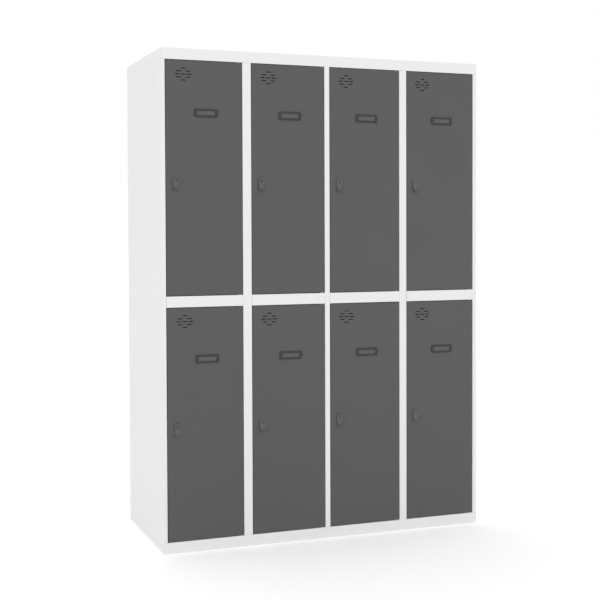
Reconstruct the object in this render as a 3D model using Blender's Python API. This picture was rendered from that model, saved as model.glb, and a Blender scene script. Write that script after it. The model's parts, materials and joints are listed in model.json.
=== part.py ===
"""An eight-door sheet-steel locker: four columns of two doors in a folded carcase.

X runs across the front from left to right, the doors face -Y and Z points up. The origin is on the
floor, under the middle of the locker. Every size is in metres.
"""

import math

import bmesh
import bpy
import numpy as np
from mathutils import Matrix

# Overall size of the carcase
BODY_WIDTH = 1.260
BODY_HEIGHT = 1.800
BODY_DEPTH = 0.550

# Front frame: faces of the uprights from left to right, and of the rails from the floor up
LEFT_STILE = 0.013
PARTITION_STILES = (0.033, 0.020, 0.030)
RIGHT_STILE = 0.016
BASE_RAIL = 0.040
MIDDLE_RAIL = 0.040
TOP_RAIL = 0.040
TIERS = ("lower", "upper")

# Carcase sheet and its folds
CARCASE_SHEET = 0.001
RAIL_LIP = 0.014
STOP_STRIP = 0.010
BACK_FLANGE = 0.012
SIDE_FLANGE = 0.015
FOLD_RELIEF = 0.002
SEAM = 0.0003

# Doors
DOOR_GAP = 0.002
DOOR_SHEET = 0.001
DOOR_DEPTH = 0.018
DOOR_LIP = 0.012
BUFFER_GAP = 0.002

# Stiffener down the back of each door
STIFFENER_FROM_HINGE = 0.065
STIFFENER_FOOT = 0.011
STIFFENER_SLOPE = 0.003
STIFFENER_CROWN = 0.024
STIFFENER_HEIGHT = 0.013
STIFFENER_END_GAP = 0.005

# Vent slots, measured from the opening's top left corner to the middle of the diamond
VENT_FROM_LEFT = 0.067
VENT_FROM_TOP = 0.051
VENT_ROW_PITCH = 0.0106
SLOT_LENGTH = 0.018
SLOT_HEIGHT = 0.003
SLOT_BRIDGE = 0.004
SLOT_PAIR_OFFSET = 0.017

# Pivots at the right edge of each door
PIVOT_SETBACK = 0.010
SWEEP_CLEARANCE = 0.0006
PIN_DIAMETER = 0.005
PIN_REACH = 0.006
PIN_HEAD_HEIGHT = 0.002
HEAD_CLEARANCE = 0.0005

# Lock, measured from the opening's top left corner to its axis
LOCK_FROM_LEFT = 0.038
LOCK_FROM_TOP = 0.426
LOCK_PROUD = 0.004
LOCK_FACE_WIDTH = 0.024
BARREL_DIAMETER = 0.018
NUT_WIDTH = 0.024
NUT_HEIGHT = 0.006
PLUG_DIAMETER = 0.012
PLUG_RECESS = 0.0006
KEY_SLOT_HEIGHT = 0.008
KEY_SLOT_WIDTH = 0.0018
KEY_SLOT_DEPTH = 0.005
CAM_CLEARANCE = 0.003
CAM_REACH = 0.033
CAM_WIDTH = 0.016
CAM_TIP_RADIUS = 0.004
CAM_THICKNESS = 0.0025
CAM_SCREW_DIAMETER = 0.010
CAM_SCREW_HEIGHT = 0.003

# Finger pull under the lock's face
PULL_START = 0.009
PULL_DROP = 0.025
PULL_REACH = 0.010
PULL_THICKNESS = 0.003
PULL_CORNER = 0.006

# Label holder, measured from the opening's top left corner to its middle
LABEL_FROM_LEFT = 0.150
LABEL_FROM_TOP = 0.187
LABEL_WIDTH = 0.0885
LABEL_HEIGHT = 0.0305
LABEL_CORNER = 0.0065
LABEL_PROUD = 0.003
WINDOW_WIDTH = 0.066
WINDOW_HEIGHT = 0.015
WINDOW_CORNER = 0.0025
CARD_MARGIN = 0.003
CARD_ROOM = 0.001
PEG_DIAMETER = 0.004
PEG_REACH = 0.004

# Coat rail across each compartment
COAT_RAIL_DROP = 0.060
COAT_RAIL_SETBACK = 0.265
COAT_RAIL_DIAMETER = 0.016
COAT_RAIL_WALL = 0.0012
COAT_RAIL_FLANGE_DIAMETER = 0.034
COAT_RAIL_FLANGE = 0.002

# How far a cutter runs past what it cuts, and facets round each full circle
OVERRUN = 0.002
FINE_SIDES = 16
SIDES = 12
PEG_SIDES = 6
CORNER_STEPS = 3
SLOT_STEPS = 1
PULL_STEPS = 5
POINT_DIGITS = 7
SMOOTH_ANGLE = math.radians(35)

# Places that follow from the sizes above
STILES = (LEFT_STILE, *PARTITION_STILES, RIGHT_STILE)
COLUMNS = len(PARTITION_STILES) + 1
OPENING_WIDTH = (BODY_WIDTH - sum(STILES)) / COLUMNS
RAILS = BASE_RAIL + TOP_RAIL + MIDDLE_RAIL * (len(TIERS) - 1)
OPENING_HEIGHT = (BODY_HEIGHT - RAILS) / len(TIERS)
PROUD = max(LOCK_PROUD + PULL_REACH, LABEL_PROUD)
FRONT = (PROUD - BODY_DEPTH) / 2
BACK = FRONT + BODY_DEPTH
REAR = BACK - CARCASE_SHEET - SEAM
LEFT = -BODY_WIDTH / 2
RIGHT = BODY_WIDTH / 2
INSIDE = RIGHT - CARCASE_SHEET - SEAM
CEILING = BODY_HEIGHT - CARCASE_SHEET - SEAM
STOP_DEPTH = DOOR_DEPTH + BUFFER_GAP
RETURN_DEPTH = STOP_DEPTH + 2 * CARCASE_SHEET
BEHIND_RAIL = FRONT + CARCASE_SHEET + SEAM
FRAME_LOW = BASE_RAIL + SEAM
FRAME_HIGH = BODY_HEIGHT - TOP_RAIL - SEAM
FLANGE_HIGH = BODY_HEIGHT - BACK_FLANGE - SEAM

DOOR_LEFT = DOOR_GAP
DOOR_RIGHT = OPENING_WIDTH - DOOR_GAP
DOOR_LOW = DOOR_GAP
DOOR_HIGH = OPENING_HEIGHT - DOOR_GAP
PIVOT_X = DOOR_RIGHT - PIVOT_SETBACK
SWEEP_RADIUS = PIVOT_SETBACK + DOOR_GAP - SWEEP_CLEARANCE
PIVOT_Y = math.sqrt(SWEEP_RADIUS**2 - PIVOT_SETBACK**2)
PIN_HOLE = PIN_DIAMETER + 2 * SEAM
PIN_HEAD_DIAMETER = 2 * (PIVOT_Y - CARCASE_SHEET - HEAD_CLEARANCE)
LOCK_Z = OPENING_HEIGHT - LOCK_FROM_TOP
CAM_DEPTH = STOP_DEPTH + CARCASE_SHEET + CAM_CLEARANCE
BARREL_HOLE = BARREL_DIAMETER + 2 * SEAM
PLUG_HOLE = PLUG_DIAMETER + 2 * SEAM
PEG_HOLE = PEG_DIAMETER + 2 * SEAM
PEG_OFFSET = (LABEL_WIDTH + WINDOW_WIDTH) / 4 + CARD_MARGIN / 2

# Colours are linear red, green and blue
POWDER_GREY = (0.80, 0.80, 0.80)
POWDER_ANTHRACITE = (0.115, 0.115, 0.117)
BLACK_PLASTIC = (0.045, 0.045, 0.047)
BLACK_ZINC = (0.070, 0.070, 0.072)
BRIGHT_ZINC = (0.560, 0.570, 0.580)
DARK_NICKEL = (0.210, 0.205, 0.200)


def clear_scene():
    """Removes every object of the opened file."""
    for piece in list(bpy.data.objects):
        bpy.data.objects.remove(piece)


def finish(name, colour, roughness, metallic):
    """A Principled material."""
    material = bpy.data.materials.new(name)
    material.use_nodes = True
    shader = material.node_tree.nodes["Principled BSDF"]
    shader.inputs["Base Color"].default_value = (*colour, 1)
    shader.inputs["Roughness"].default_value = roughness
    shader.inputs["Metallic"].default_value = metallic
    material.diffuse_color = (*colour, 1)
    return material


def add_piece(name, mesh, material, parent=None, location=(0, 0, 0)):
    """One named object, smooth over its round faces."""
    piece = bpy.data.objects.new(name, mesh)
    bpy.context.scene.collection.objects.link(piece)
    piece.location = location
    piece.parent = parent
    mesh.materials.clear()
    mesh.materials.append(material)
    mesh.shade_smooth()
    mesh.set_sharp_from_angle(angle=SMOOTH_ANGLE)
    return piece


def add_axis(name, location):
    """An empty on a joint's axis, which carries the pieces that turn there."""
    axis = bpy.data.objects.new(name, None)
    bpy.context.scene.collection.objects.link(axis)
    axis.location = location
    return axis


def combined(first, second, operation):
    """The first mesh with the second joined on, cut away or kept in common, as a new mesh."""
    body = bpy.data.objects.new(first.name, first)
    tool = bpy.data.objects.new(second.name, second)
    for piece in (body, tool):
        bpy.context.scene.collection.objects.link(piece)
    modifier = body.modifiers.new("Combine", "BOOLEAN")
    modifier.operation = operation
    modifier.object = tool
    bpy.context.view_layer.update()
    graph = bpy.context.evaluated_depsgraph_get()
    result = bpy.data.meshes.new_from_object(body.evaluated_get(graph))
    bpy.data.objects.remove(body)
    bpy.data.objects.remove(tool)
    return result


def gathered(meshes):
    """Several meshes that don't touch, as one mesh."""
    form = bmesh.new()
    for mesh in meshes:
        form.from_mesh(mesh)
    return finished(form, "gathered")


def finished(form, name):
    """The mesh of a bmesh form, with its faces turned outwards."""
    bmesh.ops.recalc_face_normals(form, faces=form.faces)
    mesh = bpy.data.meshes.new(name)
    form.to_mesh(mesh)
    form.free()
    return mesh


def moved(mesh, offset):
    """The same mesh after a shift."""
    mesh.transform(Matrix.Translation(offset))
    return mesh


def prism(outline, start, end, axis):
    """A closed prism along an axis; the outline gives the two other coordinates in their order."""
    rings = []
    form = bmesh.new()
    for along in (start, end):
        placed = [place(along, first, second, axis) for first, second in outline]
        rings.append([form.verts.new(point) for point in placed])
        form.faces.new(rings[-1])
    for index in range(len(outline)):
        after = (index + 1) % len(outline)
        form.faces.new([rings[0][index], rings[0][after], rings[1][after], rings[1][index]])
    return finished(form, "prism")


def place(along, first, second, axis):
    """The point at a distance along an axis, with its two other coordinates in their order."""
    return {
        "X": (along, first, second),
        "Y": (first, along, second),
        "Z": (first, second, along),
    }[axis]


def circle(diameter, sides):
    """Points round a circle whose flat sides touch it from inside."""
    angles = [2 * math.pi * step / sides for step in range(sides)]
    return [(diameter / 2 * math.cos(angle), diameter / 2 * math.sin(angle)) for angle in angles]


def rounded_rectangle(width, height, radius, steps):
    """Points round a rectangle with round corners, centred on zero."""
    points = []
    for quarter, (across, up) in enumerate(((1, 1), (-1, 1), (-1, -1), (1, -1))):
        centre = (across * (width / 2 - radius), up * (height / 2 - radius))
        for step in range(steps + 1):
            angle = (quarter + step / steps) * math.pi / 2
            points.append((centre[0] + radius * math.cos(angle), centre[1] + radius * math.sin(angle)))
    return without_repeats(points)


def without_repeats(points):
    """The outline without points that fall on the one before."""
    kept = []
    for point in points:
        if rounded(point) not in [rounded(other) for other in kept]:
            kept.append(point)
    return kept


def rod(diameter, start, end, axis, sides=SIDES):
    """A round bar along an axis through the origin."""
    return prism(circle(diameter, sides), start, end, axis)


def turned_ring(profile, sides):
    """A closed profile of (radius, along) points, turned round the X axis."""
    form = bmesh.new()
    corners = [form.verts.new((along, radius, 0)) for radius, along in profile]
    edges = [form.edges.new((corners[index - 1], corner)) for index, corner in enumerate(corners)]
    bmesh.ops.spin(
        form,
        geom=corners + edges,
        axis=(1, 0, 0),
        cent=(0, 0, 0),
        angle=2 * math.pi,
        steps=sides,
        use_merge=True,
    )
    return finished(form, "ring")


def rounded(point):
    """A point's coordinates, rounded so that corners at one place compare as equal."""
    return tuple(round(value, POINT_DIGITS) for value in point)


def turned_to(direction, points):
    """The corners of a flat panel in the order that faces it in a direction."""
    around = [np.array(point, float) for point in points]
    normal = sum(np.cross(around[index - 1], corner) for index, corner in enumerate(around))
    return points if np.dot(normal, direction) > 0 else points[::-1]


def upright(path, low, high):
    """Standing panels along a plan path of (x, y) points, with the outside on the path's left."""
    return [
        [(*start, high), (*end, high), (*end, low), (*start, low)]
        for start, end in zip(path, path[1:])
    ]


def crosswise(path, left, right):
    """Panels across the front along a path of (y, z) points, with the outside on the path's left."""
    return [
        [(right, *start), (right, *end), (left, *end), (left, *start)]
        for start, end in zip(path, path[1:])
    ]


def with_fold_ends(panel, corners):
    """The panel's corners, with those of other panels that lie along its edges put in."""
    whole = []
    for start, end in zip(panel, panel[1:] + panel[:1]):
        edge = np.subtract(end, start)
        length = np.linalg.norm(edge)
        between = []
        for corner in corners:
            offset = np.subtract(corner, start)
            along = offset @ edge / length
            away = np.linalg.norm(offset - edge * along / length)
            if away < 10**-POINT_DIGITS and 0 < round(along, POINT_DIGITS) < round(length, POINT_DIGITS):
                between.append((along, corner))
        whole += [start] + [corner for _, corner in sorted(between)]
    return whole


def panel_normal(panel):
    """The unit normal of a flat panel."""
    around = [np.array(point) for point in panel]
    normal = sum(np.cross(around[index - 1], corner) for index, corner in enumerate(around))
    return normal / np.linalg.norm(normal)


def inner_corner(corner, normals, thickness):
    """The corner set back by the sheet's thickness from each face that meets there."""
    planes = np.array(sorted({rounded(normal) for normal in normals}))
    depths = np.full(len(planes), -thickness)
    return tuple(np.add(corner, np.linalg.lstsq(planes, depths, rcond=None)[0]))


def folded_sheet(panels, thickness):
    """A folded sheet of even thickness, as one closed mesh.

    Each panel lists the corners of a flat face on the sheet's outer side, anticlockwise from outside.
    Panels are folded together wherever their edges meet, and the rest of each edge is left free.
    """
    panels = [[rounded(point) for point in panel] for panel in panels]
    corners = sorted({point for panel in panels for point in panel})
    normals = {corner: [] for corner in corners}
    whole = [with_fold_ends(panel, corners) for panel in panels]
    for panel in whole:
        for corner in panel:
            normals[corner].append(panel_normal(panel))
    form = bmesh.new()
    outer = {corner: form.verts.new(corner) for corner in corners}
    inner = {
        corner: form.verts.new(inner_corner(corner, normals[corner], thickness)) for corner in corners
    }
    edges = {(start, end) for panel in whole for start, end in zip(panel, panel[1:] + panel[:1])}
    for panel in whole:
        form.faces.new([outer[corner] for corner in panel])
        form.faces.new([inner[corner] for corner in panel[::-1]])
    for start, end in sorted(edges):
        if (end, start) not in edges:
            form.faces.new([outer[end], outer[start], inner[start], inner[end]])
    return finished(form, "sheet")


def stile_edges(stile):
    """Left and right edges of an upright's front face, counted from the left end."""
    left = LEFT + sum(STILES[:stile]) + stile * OPENING_WIDTH
    return left, left + STILES[stile]


def opening_left(column):
    """Left edge of a column's openings."""
    return stile_edges(column)[1]


def opening_low(tier):
    """Lower edge of a tier's openings."""
    return BASE_RAIL + tier * (OPENING_HEIGHT + MIDDLE_RAIL)


def web_left(stile):
    """Left skin of a partition's web, which stands behind the middle of its front face."""
    return (sum(stile_edges(stile)) - CARCASE_SHEET) / 2


def compartment_sides(column):
    """Where the pieces that span a column end, a seam inside its walls."""
    left = -INSIDE if column == 0 else web_left(column) + CARCASE_SHEET + SEAM
    right = INSIDE if column == COLUMNS - 1 else web_left(column + 1) - SEAM
    return left, right


def stop_strips(left):
    """The strips beside a column's openings that its closed doors meet."""
    panels = []
    for tier in range(len(TIERS)):
        low = opening_low(tier) + SEAM
        high = opening_low(tier) + OPENING_HEIGHT - SEAM
        strip = [(left + STOP_STRIP, FRONT + STOP_DEPTH), (left, FRONT + STOP_DEPTH)]
        panels += upright(strip, low, high)
    return panels


def side_wall(x, facing):
    """The flat wall of a side panel, cut back behind the base rail and the top rail."""
    outline = [
        (FRONT, FRAME_LOW),
        (FRONT, FRAME_HIGH),
        (BEHIND_RAIL, FRAME_HIGH),
        (BEHIND_RAIL, CEILING),
        (REAR, CEILING),
        (REAR, 0),
        (BEHIND_RAIL, 0),
        (BEHIND_RAIL, FRAME_LOW),
    ]
    return [turned_to((facing, 0, 0), [(x, y, z) for y, z in outline])]


def left_side_panel():
    """The left wall, with its front face and the strip that the first doors meet."""
    edge = opening_left(0)
    front = [(edge, FRONT + STOP_DEPTH), (edge, FRONT), (LEFT, FRONT)]
    flange = [(LEFT, REAR), (LEFT + BACK_FLANGE, REAR)]
    panels = upright(front, FRAME_LOW, FRAME_HIGH) + stop_strips(edge) + side_wall(LEFT, -1)
    return folded_sheet(panels + upright(flange, FRAME_LOW, FLANGE_HIGH), CARCASE_SHEET)


def right_side_panel():
    """The right wall, with the front face that the last doors are hung beside."""
    edge = stile_edges(COLUMNS)[0]
    deep = FRONT + RETURN_DEPTH
    front = [(RIGHT, FRONT), (edge, FRONT), (edge, deep), ((edge + RIGHT) / 2, deep)]
    flange = [(RIGHT - BACK_FLANGE, REAR), (RIGHT, REAR)]
    panels = upright(front, FRAME_LOW, FRAME_HIGH) + side_wall(RIGHT, 1)
    return folded_sheet(panels + upright(flange, FRAME_LOW, FLANGE_HIGH), CARCASE_SHEET)


def partition(stile):
    """A partition folded from one sheet: stop strip, front face, return and web."""
    left, right = stile_edges(stile)
    web = web_left(stile)
    deep = FRONT + RETURN_DEPTH
    front = [(right, FRONT + STOP_DEPTH), (right, FRONT), (left, FRONT), (left, deep), (web, deep)]
    flange = [(web, REAR), (web + BACK_FLANGE, REAR)]
    notch = REAR - CARCASE_SHEET - SEAM
    outline = [
        (deep, FRAME_LOW),
        (REAR, FRAME_LOW),
        (REAR, FLANGE_HIGH),
        (notch, FLANGE_HIGH),
        (notch, CEILING),
        (deep, CEILING),
    ]
    panels = upright(front, FRAME_LOW, FRAME_HIGH) + stop_strips(right)
    panels.append(turned_to((-1, 0, 0), [(web, y, z) for y, z in outline]))
    return folded_sheet(panels + upright(flange, FRAME_LOW, FLANGE_HIGH), CARCASE_SHEET)


def side_flanges(left, right, start, end, top):
    """The flanges folded down along both sides of a plate."""
    low = top - SIDE_FLANGE
    on_left = upright([(left, start), (left, end)], low, top)
    on_right = upright([(right, end), (right, start)], low, top)
    return on_left + on_right


def pivot_places():
    """The x of each column's door pivots."""
    return [opening_left(column) + PIVOT_X for column in range(COLUMNS)]


def pivot_stud(x, top):
    """A stud on a sill: its shoulder carries the door, and its pin holds the lower corner."""
    shoulder = top + DOOR_GAP - SEAM
    tip = top + DOOR_GAP + DOOR_SHEET + PIN_REACH
    stand = rod(PIN_HEAD_DIAMETER, top - CARCASE_SHEET / 2, shoulder, "Z")
    pin = rod(PIN_DIAMETER, top, tip, "Z")
    return moved(combined(stand, pin, "UNION"), (x, FRONT + PIVOT_Y, 0))


def pin_hole(x, low):
    """The cutter for an upper pin's hole in the lip at a height."""
    hole = rod(PIN_HOLE, low - OVERRUN, low + CARCASE_SHEET + OVERRUN, "Z")
    return moved(hole, (x, FRONT + PIVOT_Y, 0))


def base_panel():
    """The plinth and floor plate, with the studs that the lower doors stand on."""
    panels = crosswise([(FRONT + RAIL_LIP, 0), (FRONT, 0)], -INSIDE, INSIDE)
    panels += crosswise([(FRONT, 0), (FRONT, BASE_RAIL)], LEFT, RIGHT)
    plate = [(FRONT, BASE_RAIL), (REAR, BASE_RAIL), (REAR, BASE_RAIL - BACK_FLANGE)]
    panels += crosswise(plate, -INSIDE, INSIDE)
    start = FRONT + RAIL_LIP + FOLD_RELIEF
    panels += side_flanges(-INSIDE, INSIDE, start, REAR - FOLD_RELIEF, BASE_RAIL)
    sheet = folded_sheet(panels, CARCASE_SHEET)
    studs = gathered([pivot_stud(x, BASE_RAIL) for x in pivot_places()])
    return combined(sheet, studs, "UNION")


def top_panel():
    """The top rail and roof plate, with holes for the upper doors' pins in its lip."""
    low = BODY_HEIGHT - TOP_RAIL
    panels = crosswise([(FRONT + RAIL_LIP, low), (FRONT, low)], -INSIDE, INSIDE)
    panels += crosswise([(FRONT, low), (FRONT, BODY_HEIGHT), (REAR, BODY_HEIGHT)], LEFT, RIGHT)
    flange = [(REAR, BODY_HEIGHT), (REAR, BODY_HEIGHT - BACK_FLANGE)]
    panels += crosswise(flange, -INSIDE, INSIDE)
    holes = gathered([pin_hole(x, low) for x in pivot_places()])
    return combined(folded_sheet(panels, CARCASE_SHEET), holes, "DIFFERENCE")


def shelf(column):
    """The plate between the two tiers of a column, with its rail, pin hole and pivot stud."""
    near_left = opening_left(column) + SEAM
    near_right = opening_left(column) + OPENING_WIDTH - SEAM
    left, right = compartment_sides(column)
    top = opening_low(1)
    low = top - MIDDLE_RAIL
    shoulder = FRONT + RETURN_DEPTH + SEAM
    deep = REAR - CARCASE_SHEET - SEAM
    outline = [
        (near_left, FRONT),
        (near_right, FRONT),
        (near_right, shoulder),
        (right, shoulder),
        (right, deep),
        (left, deep),
        (left, shoulder),
        (near_left, shoulder),
    ]
    panels = crosswise([(FRONT + RAIL_LIP, low), (FRONT, low), (FRONT, top)], near_left, near_right)
    panels.append(turned_to((0, 0, 1), [(x, y, top) for x, y in outline]))
    flange = [(deep, top), (deep, top - BACK_FLANGE)]
    panels += crosswise(flange, left + FOLD_RELIEF, right - FOLD_RELIEF)
    panels += side_flanges(left, right, shoulder + FOLD_RELIEF, deep - FOLD_RELIEF, top)
    pivot = pivot_places()[column]
    plate = combined(folded_sheet(panels, CARCASE_SHEET), pin_hole(pivot, low), "DIFFERENCE")
    return combined(plate, pivot_stud(pivot, top), "UNION")


def back_panel():
    """The flat sheet that closes the back, lapped over the flanges of the other panels."""
    outline = [(LEFT, 0), (RIGHT, 0), (RIGHT, BODY_HEIGHT), (LEFT, BODY_HEIGHT)]
    return prism(outline, BACK - CARCASE_SHEET, BACK, "Y")


def door_pan():
    """A door's face with its four edges folded back and in again, in its opening's coordinates."""
    face = [(DOOR_LEFT, DOOR_LOW), (DOOR_RIGHT, DOOR_LOW), (DOOR_RIGHT, DOOR_HIGH), (DOOR_LEFT, DOOR_HIGH)]
    inset = [
        (DOOR_LEFT + DOOR_LIP, DOOR_LOW + DOOR_LIP),
        (DOOR_RIGHT - DOOR_LIP, DOOR_LOW + DOOR_LIP),
        (DOOR_RIGHT - DOOR_LIP, DOOR_HIGH - DOOR_LIP),
        (DOOR_LEFT + DOOR_LIP, DOOR_HIGH - DOOR_LIP),
    ]
    panels = [[(x, 0, z) for x, z in face]]
    for index in range(len(face)):
        (x0, z0), (x1, z1) = face[index], face[(index + 1) % len(face)]
        (u0, w0), (u1, w1) = inset[index], inset[(index + 1) % len(face)]
        panels.append([(x0, 0, z0), (x0, DOOR_DEPTH, z0), (x1, DOOR_DEPTH, z1), (x1, 0, z1)])
        panels.append(
            [(x0, DOOR_DEPTH, z0), (u0, DOOR_DEPTH, w0), (u1, DOOR_DEPTH, w1), (x1, DOOR_DEPTH, z1)]
        )
    return folded_sheet(panels, DOOR_SHEET)


def door_stiffener():
    """The hat section welded down the back of a door's face."""
    middle = OPENING_WIDTH - STIFFENER_FROM_HINGE
    crown = STIFFENER_CROWN / 2
    root = crown + STIFFENER_SLOPE
    foot = root + STIFFENER_FOOT
    low = DOOR_SHEET * 3 / 2
    high = DOOR_SHEET + STIFFENER_HEIGHT
    half = [(crown, high), (root, low), (foot, low)]
    path = [(middle - across, y) for across, y in half[::-1]]
    path += [(middle + across, y) for across, y in half]
    panels = upright(path, DOOR_LOW + STIFFENER_END_GAP, DOOR_HIGH - STIFFENER_END_GAP)
    return folded_sheet(panels, DOOR_SHEET)


def vent_places():
    """Middles of the vent slots, in rows of one, two, three, two and one."""
    pitch = SLOT_LENGTH + SLOT_BRIDGE
    rows = ((0,), (-SLOT_PAIR_OFFSET, SLOT_PAIR_OFFSET), (-pitch, 0, pitch))
    middle = len(rows) - 1
    places = []
    for row in range(2 * middle + 1):
        z = OPENING_HEIGHT - VENT_FROM_TOP + (middle - row) * VENT_ROW_PITCH
        across = rows[middle - abs(row - middle)]
        places += [(VENT_FROM_LEFT + offset, z) for offset in across]
    return places


def door_cutters():
    """The vent slots, lock hole, peg holes and pivot bore of a door."""
    slot = rounded_rectangle(SLOT_LENGTH, SLOT_HEIGHT, SLOT_HEIGHT / 2, SLOT_STEPS)
    deep = DOOR_SHEET + OVERRUN
    cutters = [moved(prism(slot, -OVERRUN, deep, "Y"), (x, 0, z)) for x, z in vent_places()]
    lock_hole = rod(BARREL_HOLE, -OVERRUN, deep, "Y", FINE_SIDES)
    cutters.append(moved(lock_hole, (LOCK_FROM_LEFT, 0, LOCK_Z)))
    for offset in (-PEG_OFFSET, PEG_OFFSET):
        peg_hole = rod(PEG_HOLE, -OVERRUN, deep, "Y", PEG_SIDES)
        place_of_peg = (LABEL_FROM_LEFT + offset, 0, OPENING_HEIGHT - LABEL_FROM_TOP)
        cutters.append(moved(peg_hole, place_of_peg))
    bore = rod(PIN_HOLE, DOOR_LOW - OVERRUN, DOOR_HIGH + OVERRUN, "Z")
    cutters.append(moved(bore, (PIVOT_X, PIVOT_Y, 0)))
    return gathered(cutters)


def door():
    """A whole door: folded pan, stiffener, vents and holes."""
    return combined(combined(door_pan(), door_stiffener(), "UNION"), door_cutters(), "DIFFERENCE")


def pull_profile():
    """Side view of the lock's face and the finger pull that curves out under it, as (y, z) points."""
    sweep = [math.pi / 2 * step / PULL_STEPS for step in range(PULL_STEPS + 1)]
    drop = PULL_DROP - PULL_THICKNESS
    outer = [
        (-LOCK_PROUD - PULL_REACH * (1 - math.cos(turn)), -PULL_START - drop * math.sin(turn))
        for turn in sweep
    ]
    root = LOCK_PROUD + PULL_REACH - SEAM
    inner = [
        (-SEAM - root * (1 - math.cos(turn)), -PULL_START - PULL_DROP * math.sin(turn)) for turn in sweep
    ]
    top = LOCK_FACE_WIDTH / 2 + OVERRUN
    return [(-SEAM, top), (-LOCK_PROUD, top)] + outer + inner[::-1]


def pull_outline():
    """Front view of the lock's face: round at the top and drawn down to the finger pull."""
    radius = LOCK_FACE_WIDTH / 2
    low = -PULL_START - PULL_DROP - OVERRUN
    over = [math.pi * step / FINE_SIDES for step in range(FINE_SIDES + 1)]
    arch = [(radius * math.cos(turn), radius * math.sin(turn)) for turn in over]
    return arch + [(-radius + PULL_CORNER / 2, low), (radius - PULL_CORNER / 2, low)]


def lock_housing():
    """The cast lock body: face with finger pull, barrel through the door and nut behind it."""
    reach = LOCK_PROUD + PULL_REACH + OVERRUN
    outline = prism(pull_outline(), -reach, OVERRUN, "Y")
    profile = prism(pull_profile(), -LOCK_FACE_WIDTH, LOCK_FACE_WIDTH, "X")
    face = combined(profile, outline, "INTERSECT")
    barrel = rod(BARREL_DIAMETER, -LOCK_PROUD / 2, CAM_DEPTH - CARCASE_SHEET, "Y", FINE_SIDES)
    nut_front = DOOR_SHEET + SEAM
    nut = rod(NUT_WIDTH, nut_front, nut_front + NUT_HEIGHT, "Y", SIDES // 2)
    solid = combined(combined(face, barrel, "UNION"), nut, "UNION")
    return combined(solid, rod(PLUG_HOLE, -reach, CAM_DEPTH, "Y", FINE_SIDES), "DIFFERENCE")


def cam_outline():
    """Front view of the cam: wide round the screw and narrower at the tip, hanging down."""
    top = CAM_WIDTH / 2
    over = [math.pi * step / SIDES for step in range(SIDES + 1)]
    head = [(top * math.cos(turn), top * math.sin(turn)) for turn in over]
    tip_z = CAM_TIP_RADIUS - CAM_REACH
    tip = [(-CAM_TIP_RADIUS * math.cos(turn), tip_z - CAM_TIP_RADIUS * math.sin(turn)) for turn in over]
    return head + tip


def lock_plug():
    """The turning plug with its key slot, and the cam screwed on behind the stop strip."""
    front = PLUG_RECESS - LOCK_PROUD
    plug = rod(PLUG_DIAMETER, front, CAM_DEPTH + CAM_THICKNESS / 2, "Y", FINE_SIDES)
    slot = rounded_rectangle(KEY_SLOT_WIDTH, KEY_SLOT_HEIGHT, KEY_SLOT_WIDTH / 2, SLOT_STEPS)
    key_slot = prism(slot, front - OVERRUN, front + KEY_SLOT_DEPTH, "Y")
    cam = prism(cam_outline(), CAM_DEPTH, CAM_DEPTH + CAM_THICKNESS, "Y")
    behind = CAM_DEPTH + CAM_THICKNESS
    screw = rod(CAM_SCREW_DIAMETER, behind - CAM_THICKNESS / 2, behind + CAM_SCREW_HEIGHT, "Y")
    solid = combined(combined(plug, cam, "UNION"), screw, "UNION")
    return combined(solid, key_slot, "DIFFERENCE")


def label_holder():
    """A moulded frame for a name card, held by two pegs through the door."""
    outline = rounded_rectangle(LABEL_WIDTH, LABEL_HEIGHT, LABEL_CORNER, CORNER_STEPS)
    window = rounded_rectangle(WINDOW_WIDTH, WINDOW_HEIGHT, WINDOW_CORNER, SLOT_STEPS)
    card = rounded_rectangle(
        WINDOW_WIDTH + 2 * CARD_MARGIN, WINDOW_HEIGHT + 2 * CARD_MARGIN, WINDOW_CORNER, SLOT_STEPS
    )
    frame = prism(outline, -LABEL_PROUD, -SEAM, "Y")
    cut = combined(frame, prism(window, -LABEL_PROUD - OVERRUN, OVERRUN, "Y"), "DIFFERENCE")
    cut = combined(cut, prism(card, -SEAM - CARD_ROOM, OVERRUN, "Y"), "DIFFERENCE")
    pegs = [
        moved(rod(PEG_DIAMETER, -LABEL_PROUD / 2, DOOR_SHEET + PEG_REACH, "Y", PEG_SIDES), (offset, 0, 0))
        for offset in (-PEG_OFFSET, PEG_OFFSET)
    ]
    return combined(cut, gathered(pegs), "UNION")


def hinge_pin():
    """The upper pivot pin, which drops through the rail's lip into the door and rests on its head."""
    head_low = CARCASE_SHEET + SEAM
    head = rod(PIN_HEAD_DIAMETER, head_low, head_low + PIN_HEAD_HEIGHT, "Z")
    low = -DOOR_GAP - DOOR_SHEET - PIN_REACH
    shank = rod(PIN_DIAMETER, low, head_low + PIN_HEAD_HEIGHT / 2, "Z")
    return combined(head, shank, "UNION")


def coat_rail(length):
    """A tube with a round flange at each end, along X from zero."""
    outer = COAT_RAIL_DIAMETER / 2
    inner = outer - COAT_RAIL_WALL
    flange = COAT_RAIL_FLANGE_DIAMETER / 2
    profile = [
        (inner, 0),
        (flange, 0),
        (flange, COAT_RAIL_FLANGE),
        (outer, COAT_RAIL_FLANGE),
        (outer, length - COAT_RAIL_FLANGE),
        (flange, length - COAT_RAIL_FLANGE),
        (flange, length),
        (inner, length),
    ]
    return turned_ring(profile, SIDES)


def build_carcase(paint):
    """The twelve panels of the carcase."""
    add_piece("left_side_panel", left_side_panel(), paint)
    add_piece("right_side_panel", right_side_panel(), paint)
    for stile in range(1, COLUMNS):
        add_piece(f"partition_{stile}", partition(stile), paint)
    add_piece("top_panel", top_panel(), paint)
    add_piece("base_panel", base_panel(), paint)
    add_piece("back_panel", back_panel(), paint)
    for column in range(COLUMNS):
        add_piece(f"shelf_{column + 1}", shelf(column), paint)


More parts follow.
